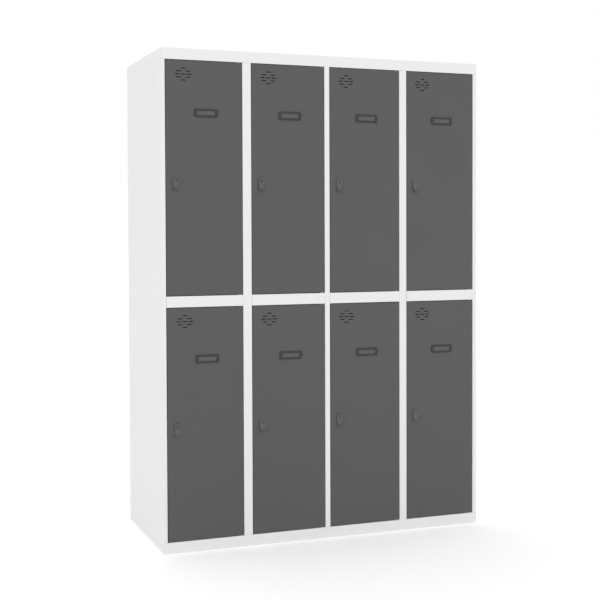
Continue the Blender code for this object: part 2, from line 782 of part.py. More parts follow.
def build_doors():
    """Each door with its label holder and lock, on an empty at its pivot."""
    paint = finish("anthracite_powder_coat", POWDER_ANTHRACITE, 0.45, 0)
    plastic = finish("black_abs", BLACK_PLASTIC, 0.5, 0)
    body = finish("black_zinc_casting", BLACK_ZINC, 0.4, 0.3)
    nickel = finish("dark_nickel", DARK_NICKEL, 0.3, 1)
    meshes = (door(), label_holder(), lock_housing(), lock_plug())
    label_place = (LABEL_FROM_LEFT - PIVOT_X, -PIVOT_Y, OPENING_HEIGHT - LABEL_FROM_TOP)
    lock_place = (LOCK_FROM_LEFT - PIVOT_X, -PIVOT_Y, LOCK_Z)
    for tier, tier_name in enumerate(TIERS):
        for column in range(COLUMNS):
            label = f"{tier_name}_{column + 1}"
            pivot = (opening_left(column) + PIVOT_X, FRONT + PIVOT_Y, opening_low(tier))
            axis = add_axis(f"hinge_{label}", pivot)
            add_piece(f"door_{label}", meshes[0], paint, axis, (-PIVOT_X, -PIVOT_Y, 0))
            add_piece(f"label_holder_{label}", meshes[1], plastic, axis, label_place)
            add_piece(f"lock_housing_{label}", meshes[2], body, axis, lock_place)
            add_piece(f"lock_plug_{label}", meshes[3], nickel, axis, lock_place)


def build_fittings():
    """The upper hinge pins and the coat rails."""
    zinc = finish("bright_zinc_plate", BRIGHT_ZINC, 0.35, 1)
    pin = hinge_pin()
    for tier, tier_name in enumerate(TIERS):
        high = opening_low(tier) + OPENING_HEIGHT
        under = CEILING if tier == len(TIERS) - 1 else opening_low(tier + 1) - CARCASE_SHEET
        for column in range(COLUMNS):
            label = f"{tier_name}_{column + 1}"
            pivot = (opening_left(column) + PIVOT_X, FRONT + PIVOT_Y, high)
            add_piece(f"hinge_pin_{label}", pin, zinc, location=pivot)
            left, right = compartment_sides(column)
            rail_place = (left, FRONT + COAT_RAIL_SETBACK, under - COAT_RAIL_DROP)
            add_piece(f"coat_rail_{label}", coat_rail(right - left), zinc, location=rail_place)


clear_scene()
build_carcase(finish("light_grey_powder_coat", POWDER_GREY, 0.45, 0))
build_doors()
build_fittings()
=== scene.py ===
"""Dresses an eight-door steel locker: powder-coated folded sheet, moulded and cast fittings, plated steel.

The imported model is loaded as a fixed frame, and every piece made here takes its place from it. Sizes
are in metres unless a name ends in _mm or _deg. X runs across the front, the doors face -Y, Z is up.
"""

import json
import logging
import math
from collections.abc import Callable, Iterable, Sequence
from dataclasses import dataclass, field
from enum import Enum
from functools import cache

import bmesh
import bpy
import numpy as np
from mathutils import Matrix, Vector
from mathutils.geometry import delaunay_2d_cdt


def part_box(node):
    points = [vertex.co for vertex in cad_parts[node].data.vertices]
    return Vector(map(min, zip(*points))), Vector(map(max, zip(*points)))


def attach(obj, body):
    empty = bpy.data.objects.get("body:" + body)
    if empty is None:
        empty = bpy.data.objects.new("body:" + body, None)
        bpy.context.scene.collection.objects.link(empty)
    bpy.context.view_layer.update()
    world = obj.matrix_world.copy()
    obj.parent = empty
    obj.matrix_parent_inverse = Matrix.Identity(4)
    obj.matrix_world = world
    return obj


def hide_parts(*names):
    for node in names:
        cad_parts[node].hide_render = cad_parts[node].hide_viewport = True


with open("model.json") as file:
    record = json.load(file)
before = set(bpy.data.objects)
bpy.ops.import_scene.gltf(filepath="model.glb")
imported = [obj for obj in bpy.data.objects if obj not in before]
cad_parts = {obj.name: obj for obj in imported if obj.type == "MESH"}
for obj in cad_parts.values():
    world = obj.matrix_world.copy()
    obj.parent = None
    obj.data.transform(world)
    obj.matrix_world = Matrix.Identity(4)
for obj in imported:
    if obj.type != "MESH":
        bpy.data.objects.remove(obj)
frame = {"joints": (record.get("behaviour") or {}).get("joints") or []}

LOG = logging.getLogger("locker")
Array = np.ndarray
Span = tuple[float, float]
Place = tuple[float, float, float]
MM = 0.001
MERGE_DISTANCE = 0.000002
SMOOTH_ANGLE = math.radians(38)
STRAIGHT_ANGLE = SMOOTH_ANGLE / 100


class Outward(Enum):
    """The hand on which a folded outline has the sheet's outer side, seen along the outline."""

    LEFT = 1
    RIGHT = -1


class Laid(Enum):
    """The axes of a folded sheet: two for its outline across and two for its outline along."""

    UPRIGHT = ((0, 1), (2, 0))
    FLAT = ((0, 2), (1, 2))
    ENDWAYS = ((1, 0), (2, 0))


class Slot(Enum):
    """The record's material slots."""

    GREY = "light_grey_paint"
    ANTHRACITE = "anthracite_paint"
    PLASTIC = "black_plastic"
    CASTING = "black_casting"
    NICKEL = "dark_nickel"
    ZINC = "bright_zinc"


# Surfaces


@dataclass
class Skin:
    """Points and faces of a surface that isn't a piece yet."""

    points: Array
    faces: list[list[int]]

    @classmethod
    def joined(cls, skins: Sequence["Skin"]) -> "Skin":
        """Several skins as one.

        Args:
            skins: The skins, in the order in which their points and faces follow each other.

        Returns:
            The joined skin.
        """
        starts = np.cumsum([0] + [len(skin.points) for skin in skins]).tolist()
        faces = [
            [corner + start for corner in face]
            for skin, start in zip(skins, starts)
            for face in skin.faces
        ]
        return cls(np.concatenate([skin.points for skin in skins]), faces)

    def moved(self, offset: Sequence[float]) -> "Skin":
        """The same skin after a shift."""
        return Skin(self.points + np.asarray(offset, float), self.faces)


def woven(grid: Array, cells: Array | None = None, rings: Sequence[Array] = ()) -> Skin:
    """Turns a grid of points into faces, with cells left out and holes punched in flat cells.

    Corner (i, j) of the grid is joined to its next row and its next column, and the columns wrap
    round when there are as many columns of cells as of points. A cell's face is seen
    anticlockwise from the side that column step x row step points to.

    Args:
        grid: Points with shape (rows, columns, 3).
        cells: True where a cell exists, with shape (rows - 1, columns or columns - 1), or None
            for all cells of columns that wrap round.
        rings: Hole outlines, each with shape (points, 3) and lying in one flat cell.

    Returns:
        The skin of all the cells.
    """
    rows, columns = grid.shape[:2]
    row, column = np.nonzero(np.ones((rows - 1, columns)) if cells is None else cells)
    after = (column + 1) % columns
    near, far = row * columns, (row + 1) * columns
    quads = np.stack([near + column, near + after, far + after, far + column], axis=1)
    points = grid.reshape(-1, 3)
    corners = points[quads]
    lowest, highest = corners.min(axis=1) - MERGE_DISTANCE, corners.max(axis=1) + MERGE_DISTANCE
    holes: dict[int, list[Array]] = {}
    for ring in rings:
        inside = ((ring.min(axis=0) >= lowest) & (ring.max(axis=0) <= highest)).all(axis=1)
        if not inside.any():
            raise ValueError(f"no flat cell holds the hole at {ring.mean(axis=0)}")
        holes.setdefault(int(np.argmax(inside)), []).append(ring)
    whole = [quad for index, quad in enumerate(quads.tolist()) if index not in holes]
    flats = [punched(corners[index], outlines) for index, outlines in holes.items()]
    return Skin.joined([Skin(points, whole), *flats])


def punched(boundary: Array, rings: Sequence[Array], inner: Sequence[Array] = ()) -> Skin:
    """A flat polygon with holes, as triangles between its corners and the holes' outlines.

    Args:
        boundary: Corners with shape (corners, 3), anticlockwise from outside.
        rings: Hole outlines in the polygon's plane, each with shape (points, 3).
        inner: More points in the plane, which triangles shall meet at where they lie on the polygon.

    Returns:
        The skin of the polygon without its holes.
    """
    origin = boundary[0]
    side = unit(boundary[1] - origin)
    normal = unit(np.cross(side, boundary[-1] - origin))
    plane = np.stack([side, np.cross(normal, side)])
    outlines = [boundary, *rings]
    flat = [Vector(point) for point in (np.concatenate([*outlines, *inner]) - origin) @ plane.T / MM]
    ends = np.cumsum([0] + [len(outline) for outline in outlines]).tolist()
    loops = [list(range(start, end)) for start, end in zip(ends, ends[1:])]
    inside_with_holes = 2
    found, _, faces, *_ = delaunay_2d_cdt(flat, [], loops, inside_with_holes, MERGE_DISTANCE / MM)
    points = origin + np.array([list(point) for point in found]) * MM @ plane
    return Skin(points, [list(face) for face in faces])


def loft(rings: Sequence[Array], closed: bool = False, ends: tuple[bool, bool] = (True, True)) -> Skin:
    """Joins closed outlines of equally many points, each to the next.

    Point (i, j) is point j of outline i, so the surface is a function of the place along the
    stack and the place round the outline.

    Args:
        rings: Outlines, each with shape (points, 3).
        closed: Whether the last outline is joined to the first.
        ends: Whether the first and the last outline are filled with one flat face each.

    Returns:
        The skin, whose faces may still point either way.
    """
    grid = np.stack([*rings, rings[0]] if closed else list(rings))
    skin = woven(grid)
    if not closed:
        numbers = np.arange(grid.shape[0] * grid.shape[1]).reshape(grid.shape[:2])
        caps = (numbers[0, ::-1].tolist(), numbers[-1].tolist())
        skin.faces += [cap for cap, filled in zip(caps, ends) if filled]
    return skin


def unit(vector: Array) -> Array:
    """The vector's direction, at length one."""
    return vector / np.linalg.norm(vector)


def rays(turn: Array) -> Array:
    """Directions at the given angles, as cosine and sine, with shape (angles, 2)."""
    return np.stack([np.cos(turn), np.sin(turn)], axis=1)


def turns(steps: int, start: float = 0) -> Array:
    """Even angles round a circle, the first of them a share of a step after zero."""
    return (np.arange(steps) + start) * 2 * math.pi / steps


def circle(radius: float, steps: int, start: float = 0) -> Array:
    """Points round a circle at even angles, with shape (steps, 2)."""
    return radius * rays(turns(steps, start))


def rounded_rectangle(width: float, height: float, radius: float, steps: int) -> Array:
    """Points round a rectangle with round corners, centred on zero.

    Each corner is a quarter circle about its own centre, and the straight sides join the
    quarters. With a radius of zero the points of a corner fall together.

    Args:
        width: Size along the first coordinate.
        height: Size along the second coordinate.
        radius: Radius of the corners.
        steps: Steps in each quarter circle.

    Returns:
        Points with shape (4 * (steps + 1), 2), anticlockwise.
    """
    quarter = np.repeat(np.arange(4), steps + 1)
    turn = (quarter + np.tile(np.arange(steps + 1) / steps, 4)) * math.pi / 2
    corner = np.array([(1, 1), (-1, 1), (-1, -1), (1, -1)])[quarter]
    return corner * (width / 2 - radius, height / 2 - radius) + radius * rays(turn)


def facing_front(outline: Array, y: float | Array, middle: Sequence[float] = (0, 0, 0)) -> Array:
    """An outline of (x, z) points as 3-D points at a depth y, about a middle."""
    depth = np.broadcast_to(y, len(outline))
    return np.stack([outline[:, 0], depth, outline[:, 1]], axis=1) + np.asarray(middle, float)


def standing(outline: Array, z: float, middle: Sequence[float] = (0, 0, 0)) -> Array:
    """An outline of (x, y) points as 3-D points at a height z, about a middle."""
    return np.column_stack([outline, np.full(len(outline), z)]) + np.asarray(middle, float)


def stacked(rings: Iterable[tuple[Array, float]], **options: object) -> Skin:
    """Joins outlines that face the front, each given with its depth, by loft and its options."""
    return loft([facing_front(outline, depth) for outline, depth in rings], **options)


def lathed(profile: Iterable[Span], steps: int, middle: Sequence[float], lay: Callable = standing) -> Skin:
    """A closed form of circles, each with a radius and a place along the axis from the profile."""
    return loft([lay(circle(radius, steps), along, middle) for radius, along in profile])


def quarter_round(start: Span, end: Span, steps: int) -> Array:
    """Points of a quarter ellipse: the first coordinate by a sine, the second by one minus a cosine."""
    turn = np.linspace(0, math.pi / 2, steps + 1)
    return start + np.subtract(end, start) * np.stack([np.sin(turn), 1 - np.cos(turn)], axis=1)


def dome(edge: Span, high: float, steps: int = 5) -> list[Span]:
    """Radii and heights from a dome's edge up, the last of them just short of its top."""
    return quarter_round((0, high), edge, steps)[:0:-1].tolist()


def placed(name: str, data: bpy.types.ID) -> bpy.types.Object:
    """Puts an object with its data into the scene.

    Args:
        name: The object's name.
        data: Its mesh, lamp or camera.

    Returns:
        The new object.
    """
    thing = bpy.data.objects.new(name, data)
    bpy.context.scene.collection.objects.link(thing)
    return thing


def mesh_of(skin: Skin, name: str, sheet: float = 0.0) -> bpy.types.Mesh:
    """Makes a mesh of a skin, gives it a wall and marks its sharp edges.

    Args:
        skin: The surface.
        name: The mesh's name.
        sheet: Wall thickness behind the skin, or zero for a skin that is already closed.

    Returns:
        A closed mesh with its faces turned outwards.
    """
    mesh = bpy.data.meshes.new(name)
    mesh.from_pydata(skin.points.tolist(), [], skin.faces)
    tidy_mesh(mesh, outwards=not sheet)
    if sheet:
        mesh = thickened(mesh, sheet)
        tidy_mesh(mesh, outwards=True)
    mesh.shade_smooth()
    mesh.set_sharp_from_angle(angle=SMOOTH_ANGLE)
    mesh.name = name
    return mesh


def tidy_mesh(mesh: bpy.types.Mesh, outwards: bool) -> None:
    """Merges points at one place and drops faces without area.

    Args:
        mesh: The mesh, which is changed.
        outwards: Whether its faces are turned outwards too.
    """
    form = bmesh.new()
    form.from_mesh(mesh)
    bmesh.ops.remove_doubles(form, verts=form.verts, dist=MERGE_DISTANCE)
    bmesh.ops.dissolve_degenerate(form, edges=form.edges, dist=MERGE_DISTANCE)
    bmesh.ops.delete(form, geom=[vert for vert in form.verts if not vert.link_faces], context="VERTS")
    if outwards:
        bmesh.ops.recalc_face_normals(form, faces=form.faces)
    form.to_mesh(mesh)
    form.free()


def thickened(mesh: bpy.types.Mesh, sheet: float) -> bpy.types.Mesh:
    """Gives a mesh an even wall behind it, rim included.

    Args:
        mesh: The open mesh.
        sheet: Thickness of the wall.

    Returns:
        The mesh of the solid.
    """
    carrier = placed(mesh.name, mesh)
    wall = carrier.modifiers.new("Wall", "SOLIDIFY")
    wall.thickness = sheet
    wall.offset = -1
    wall.use_even_offset = True
    bpy.context.view_layer.update()
    solid = bpy.data.meshes.new_from_object(carrier.evaluated_get(bpy.context.evaluated_depsgraph_get()))
    bpy.data.objects.remove(carrier)
    return solid


@dataclass
class Fold:
    """The outline of a folded sheet's outer side, as corners in two coordinates."""

    corners: Sequence[Span]
    outward: Outward = Outward.LEFT
    marks: Sequence[float] = ()
    bend: float = 0.0008
    sheet: float = 0.001
    hold: float = 0.0004
    steps: int = 4

    def traced(self) -> tuple[Array, Array]:
        """Rounds the corners and divides the flats.

        A corner becomes an arc that touches both of its flats: the inside radius is the bend, and
        the outside radius is the bend and the sheet. A short flat beside each arc holds the
        shading of the flat true. A corner without a turn only divides its flat, and so does a mark.

        Returns:
            Points with shape (n, 2), and for each interval between them its first and last flat,
            with shape (n - 1, 2), which differ along a bend.
        """
        corners = [np.array(corner, float) for corner in self.corners]
        points, flats = [corners[0]], []
        for index in range(1, len(corners) - 1):
            before, corner, after = corners[index - 1 : index + 2]
            enter, leave = unit(corner - before), unit(after - corner)
            turn = math.atan2(enter[0] * leave[1] - enter[1] * leave[0], enter @ leave)
            if abs(turn) < STRAIGHT_ANGLE:
                points.append(corner)
                flats.append((index - 1, index - 1))
                continue
            radius = self.bend + (self.sheet if turn * self.outward.value < 0 else 0)
            tangent = radius * math.tan(abs(turn) / 2)
            aside = math.copysign(radius, turn) * np.array([-enter[1], enter[0]])
            start = corner - enter * tangent
            angle = np.linspace(0, turn, self.steps + 1)[:, None]
            arm = -aside * np.cos(angle) + np.array([aside[1], -aside[0]]) * np.sin(angle)
            points += [start - enter * self.hold, *(start + aside + arm)]
            points.append(corner + leave * (tangent + self.hold))
            flats += [(index - 1, index - 1)] * 2 + [(index - 1, index)] * self.steps + [(index, index)]
        points.append(corners[-1])
        flats.append((len(corners) - 2, len(corners) - 2))
        return self.divided(points, flats)

    def divided(self, points: list[Array], flats: list[tuple[int, int]]) -> tuple[Array, Array]:
        """Adds a point to a flat wherever its first coordinate passes a mark.

        Args:
            points: Points of the rounded outline.
            flats: First and last flat of each interval between them.

        Returns:
            Both as arrays, with the new points and their intervals.
        """
        for mark in self.marks:
            for index in range(len(flats) - 1, -1, -1):
                start, end = points[index], points[index + 1]
                if (start[0] - mark) * (end[0] - mark) < 0:
                    share = (mark - start[0]) / (end[0] - start[0])
                    points.insert(index + 1, start + (end - start) * share)
                    flats.insert(index + 1, flats[index])
        return np.array(points), np.array(flats)


@dataclass
class FoldedSheet:
    """A sheet folded along straight lines in one direction or in two.

    Each point of the surface is the sum of a point of the outline across and a point of the
    outline along. The spans say where a flat of one outline exists, by the first coordinate of
    the other, and a flat without spans exists everywhere.
    """

    across: Fold
    along: Fold
    laid: Laid
    across_spans: dict[int, Sequence[Span]] = field(default_factory=dict)
    along_spans: dict[int, Sequence[Span]] = field(default_factory=dict)
    holes: Sequence[Array] = ()

    def skin(self) -> Skin:
        """The sheet's outer side as one skin.

        Returns:
            Faces between the sums of both outlines' points, wherever the spans leave a flat.
        """
        rows, row_flats = self.across.traced()
        columns, column_flats = self.along.traced()
        grid = np.zeros((len(rows), len(columns), 3))
        for axes, outline in zip(self.laid.value, (rows[:, None], columns[None])):
            for axis, values in zip(axes, np.moveaxis(outline, -1, 0)):
                grid[:, :, axis] += values
        cells = self.present(row_flats, self.across_spans, columns)
        cells &= self.present(column_flats, self.along_spans, rows).T
        return woven(grid, cells, self.holes)

    @staticmethod
    def present(flats: Array, spans: dict[int, Sequence[Span]], other: Array) -> Array:
        """Whether each interval of one outline exists beside each interval of the other.

        Args:
            flats: First and last flat of each interval, with shape (intervals, 2).
            spans: Where each flat exists.
            other: Points of the other outline.

        Returns:
            True where both flats of an interval exist, with shape (intervals, other intervals).
        """
        middles = (other[1:, 0] + other[:-1, 0]) / 2
        found = np.ones((len(flats), len(middles)), bool)
        for flat, places in spans.items():
            inside = np.any([(middles > low) & (middles < high) for low, high in places], axis=0)
            found[(flats == flat).any(axis=1)] &= inside
        return found


# Finishes


def linear(code: str) -> tuple[float, float, float, float]:
    """Turns a colour linear: dark levels by a straight line, the others by a power of 2.4.

    Args:
        code: The colour as an sRGB hex code, such as #5f5f5f.

    Returns:
        Linear red, green and blue, and an alpha of one.
    """
    level = np.array([int(code[start : start + 2], 16) for start in (1, 3, 5)]) / 255
    value = np.where(level <= 0.04045, level / 12.92, ((level + 0.055) / 1.055) ** 2.4)
    return (*value.tolist(), 1.0)


def feed(tree: bpy.types.NodeTree, node: bpy.types.Node, inputs: dict) -> None:
    """Sets or links a node's inputs.

    Args:
        tree: The node tree.
        node: The node.
        inputs: Input name or number to a value, or to an output socket to link from.
    """
    for key, value in inputs.items():
        if isinstance(value, bpy.types.NodeSocket):
            tree.links.new(value, node.inputs[key])
        else:
            node.inputs[key].default_value = value


def add_node(tree: bpy.types.NodeTree, kind: str, inputs: dict, **settings: object) -> bpy.types.Node:
    """Adds a node with its settings, and links or sets its inputs.

    Args:
        tree: The node tree.
        kind: The node's type.
        inputs: Input name or number to a value, or to an output socket to link from.
        **settings: The node's own properties.

    Returns:
        The new node.
    """
    node = tree.nodes.new(kind)
    for name, value in settings.items():
        setattr(node, name, value)
    feed(tree, node, inputs)
    return node


# The colour mix node has several sockets of one name, so they go by number.
MIX_SHARE, MIX_FIRST, MIX_SECOND, MIX_RESULT = 0, 6, 7, 2


@dataclass(frozen=True)
class Finish:
    """A surface finish: its colour and gloss, a fine relief and slow drifts of tone and gloss."""

    name: str
    colour: str
    roughness: float
    slot: Slot | None = None
    metallic: float = 0.0
    grain_mm: float = 1.0
    grain_height_mm: float = 0.01
    stretch: Place = (1.0, 1.0, 1.0)
    drift_mm: float = 180.0
    drift_share: float = 0.03
    gloss_share: float = 0.1
    wave_height_mm: float = 0.0
    grain_detail: float = 3.0
    drift_detail: float = 2.0

    @cache
    def material(self) -> bpy.types.Material:
        """Builds the finish's one material.

        Fine noise gives the relief of the grain, and slow noise shifts the tone and the roughness
        a little and, on thin sheet, bows the surface by a fraction of a millimetre. The scale of a
        noise is one over the size of its patches.

        Returns:
            The material, the same one at each call.
        """
        material = bpy.data.materials.new(self.name)
        material.use_nodes = True
        tree = material.node_tree
        place = add_node(tree, "ShaderNodeTexCoord", {}).outputs["Object"]
        laid = add_node(tree, "ShaderNodeMapping", {"Vector": place, "Scale": self.stretch})
        fine_patches = (laid.outputs["Vector"], self.grain_mm, self.grain_detail)
        slow_patches = (place, self.drift_mm, self.drift_detail)
        grain, drift = (
            add_node(
                tree, "ShaderNodeTexNoise", {"Vector": where, "Scale": 1 / (size_mm * MM), "Detail": detail}
            ).outputs["Fac"]
            for where, size_mm, detail in (fine_patches, slow_patches)
        )
        pale = linear(self.colour)
        deep = (*(channel * (1 - 2 * self.drift_share) for channel in pale[:3]), 1.0)
        tones = {MIX_SHARE: drift, MIX_FIRST: pale, MIX_SECOND: deep}
        tone = add_node(tree, "ShaderNodeMix", tones, data_type="RGBA").outputs[MIX_RESULT]
        low, high = self.roughness * (1 - self.gloss_share), self.roughness * (1 + self.gloss_share)
        gloss = add_node(tree, "ShaderNodeMapRange", {"Value": drift, "To Min": low, "To Max": high})
        fine = {"Height": grain, "Distance": self.grain_height_mm * MM}
        if self.wave_height_mm:
            slow = {"Height": drift, "Distance": self.wave_height_mm * MM}
            fine["Normal"] = add_node(tree, "ShaderNodeBump", slow).outputs["Normal"]
        relief = add_node(tree, "ShaderNodeBump", fine)
        surface = {
            "Metallic": self.metallic,
            "Base Color": tone,
            "Roughness": gloss.outputs["Result"],
            "Normal": relief.outputs["Normal"],
        }
        feed(tree, tree.nodes["Principled BSDF"], surface)
        return material


# Epoxy-polyester powder baked on steel: a fine orange peel softens every highlight. The peel is really
# about 1 mm across and is drawn at 2.5 mm, so that it shows.
GREY_POWDER_COAT = Finish(
    "light_grey_powder_coat", "#eeeeee", 0.48, Slot.GREY, grain_mm=2.5, grain_height_mm=0.012,
    drift_share=0.006, wave_height_mm=0.25,
)
ANTHRACITE_POWDER_COAT = Finish(
    "anthracite_powder_coat", "#505051", 0.50, Slot.ANTHRACITE, grain_mm=2.5, grain_height_mm=0.014,
    drift_share=0.012, wave_height_mm=0.25,
)
# Injection-moulded ABS with a spark-eroded grain: dull black with soft, broad highlights.
BLACK_ABS = Finish(
    "black_moulded_abs", "#2f2f30", 0.55, Slot.PLASTIC, grain_mm=0.8, grain_height_mm=0.02, drift_mm=20.0
)
# Zinc pressure casting under satin enamel, smoother than the moulding. Its colour is a grey a shade lighter
# than the doors rather than black: a painted highlight, so that the curve of the pull stands out from them
# softly and the shade beside the pull is offset.
CASTING_WITH_PAINTED_HIGHLIGHT = Finish(
    "satin_black_zinc_casting", "#565658", 0.34, Slot.CASTING, grain_mm=1.5, grain_height_mm=0.008,
    drift_mm=15.0,
)
# Turned brass plated with dark nickel: a dark metal with faint turning marks.
DARK_NICKEL = Finish(
    "dark_nickel_plate", "#626264", 0.30, Slot.NICKEL, metallic=1.0, grain_mm=0.4, grain_height_mm=0.003,
    drift_mm=8.0,
)
# Steel with a bright passivated zinc plate: bluish grey, with fine drawing marks along the tube.
BRIGHT_ZINC = Finish(
    "bright_zinc_plate", "#c4c8cc", 0.34, Slot.ZINC, metallic=1.0, grain_mm=0.6, grain_height_mm=0.004,
    stretch=(0.05, 1.0, 1.0), drift_mm=30.0, drift_share=0.06,
)
# Moulded rubber: matt, nearly black, with a dusty bloom.
RUBBER = Finish("black_rubber_buffer", "#262626", 0.80, grain_mm=0.5, grain_height_mm=0.02, drift_mm=6.0)
# Uncoated grey card: fully matt, with faint fibres along the card.
GREY_CARD = Finish(
    "plain_grey_card", "#5f5f5f", 0.90, grain_mm=0.6, stretch=(0.2, 1.0, 1.0), drift_mm=12.0
)


def add_piece(
    name: str, skin: Skin, finish: Finish, body: str, replaced: Sequence[str] = (), sheet: float = 0.0
) -> None:
    """Adds one finished piece.

    Args:
        name: The piece's name.
        skin: Its surface, in place.
        finish: Its finish.
        body: The body that it rides on.
        replaced: The frame's nodes that it stands for.
        sheet: Wall thickness, for a skin that is open.
    """
    mesh = mesh_of(skin, name, sheet)
    mesh.materials.append(finish.material())
    piece = placed(name, mesh)
    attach(piece, body)
    if replaced:
        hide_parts(*replaced)
    LOG.info("%s: %d faces on %s", name, len(mesh.polygons), body)


# The frame's own places


@dataclass(frozen=True)
class Bay:
    """One door opening, and where its door turns and locks."""

    tier: str
    number: int
    low: Span
    high: Span
    pivot: Span
    lock: Span

    @property
    def label(self) -> str:
        """The end of the names of this bay's nodes."""
        return f"{self.tier}_{self.number}"

    def body(self, kind: str) -> str:
        """The body that the pieces of the bay's door or of its lock's turning part ride on."""
        return f"{self.tier}_{kind}_{self.number}"


@dataclass(frozen=True)
class Layout:
    """Places read from the frame: the overall planes and the eight bays."""

    left: float
    right: float
    front: float
    back: float
    height: float
    bays: tuple[Bay, ...]
    tiers: tuple[str, ...] = ("lower", "upper")
    columns: int = 4
    carcase: str = "carcase"

    @classmethod
    def from_frame(cls, gap: float = 0.002) -> "Layout":
        """Reads the layout from the frame's boxes and joints.

        Args:
            gap: Clearance between a door and its opening.

        Returns:
            The layout.
        """
        joints = {joint["name"]: joint["pos_m"] for joint in frame["joints"]}
        bays = []
        for tier in cls.tiers:
            for number in range(1, cls.columns + 1):
                low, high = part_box(f"door_{tier}_{number}")
                corners = (low.x - gap, low.z - gap), (high.x + gap, high.z + gap)
                pivot, lock = (joints[f"{kind}_{tier}_{number}"] for kind in ("hinge", "lock"))
                bays.append(Bay(tier, number, *corners, (pivot[0], pivot[1]), (lock[0], lock[2])))
        low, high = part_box("back_panel")
        return cls(low.x, high.x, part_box("door_lower_1")[0].y, high.y, high.z, tuple(bays))

    def column(self, number: int) -> tuple[Bay, Bay]:
        """The lower and the upper bay of a column."""
        lower, upper = (bay for bay in self.bays if bay.number == number)
        return lower, upper


@dataclass
class BayPart:
    """The places and the naming that all sub-assemblies of one bay share."""

    layout: Layout
    bay: Bay

    def add(
        self, kind: str, skin: Skin, finish: Finish, body: str, node: str = "", sheet: float = 0.0
    ) -> None:
        """Adds a piece named for its kind and its bay, in place of the node named likewise."""
        nodes = [f"{node}_{self.bay.label}"] if node else []
        add_piece(f"{kind}_{self.bay.label}", skin, finish, body, nodes, sheet)


# Sheet metal


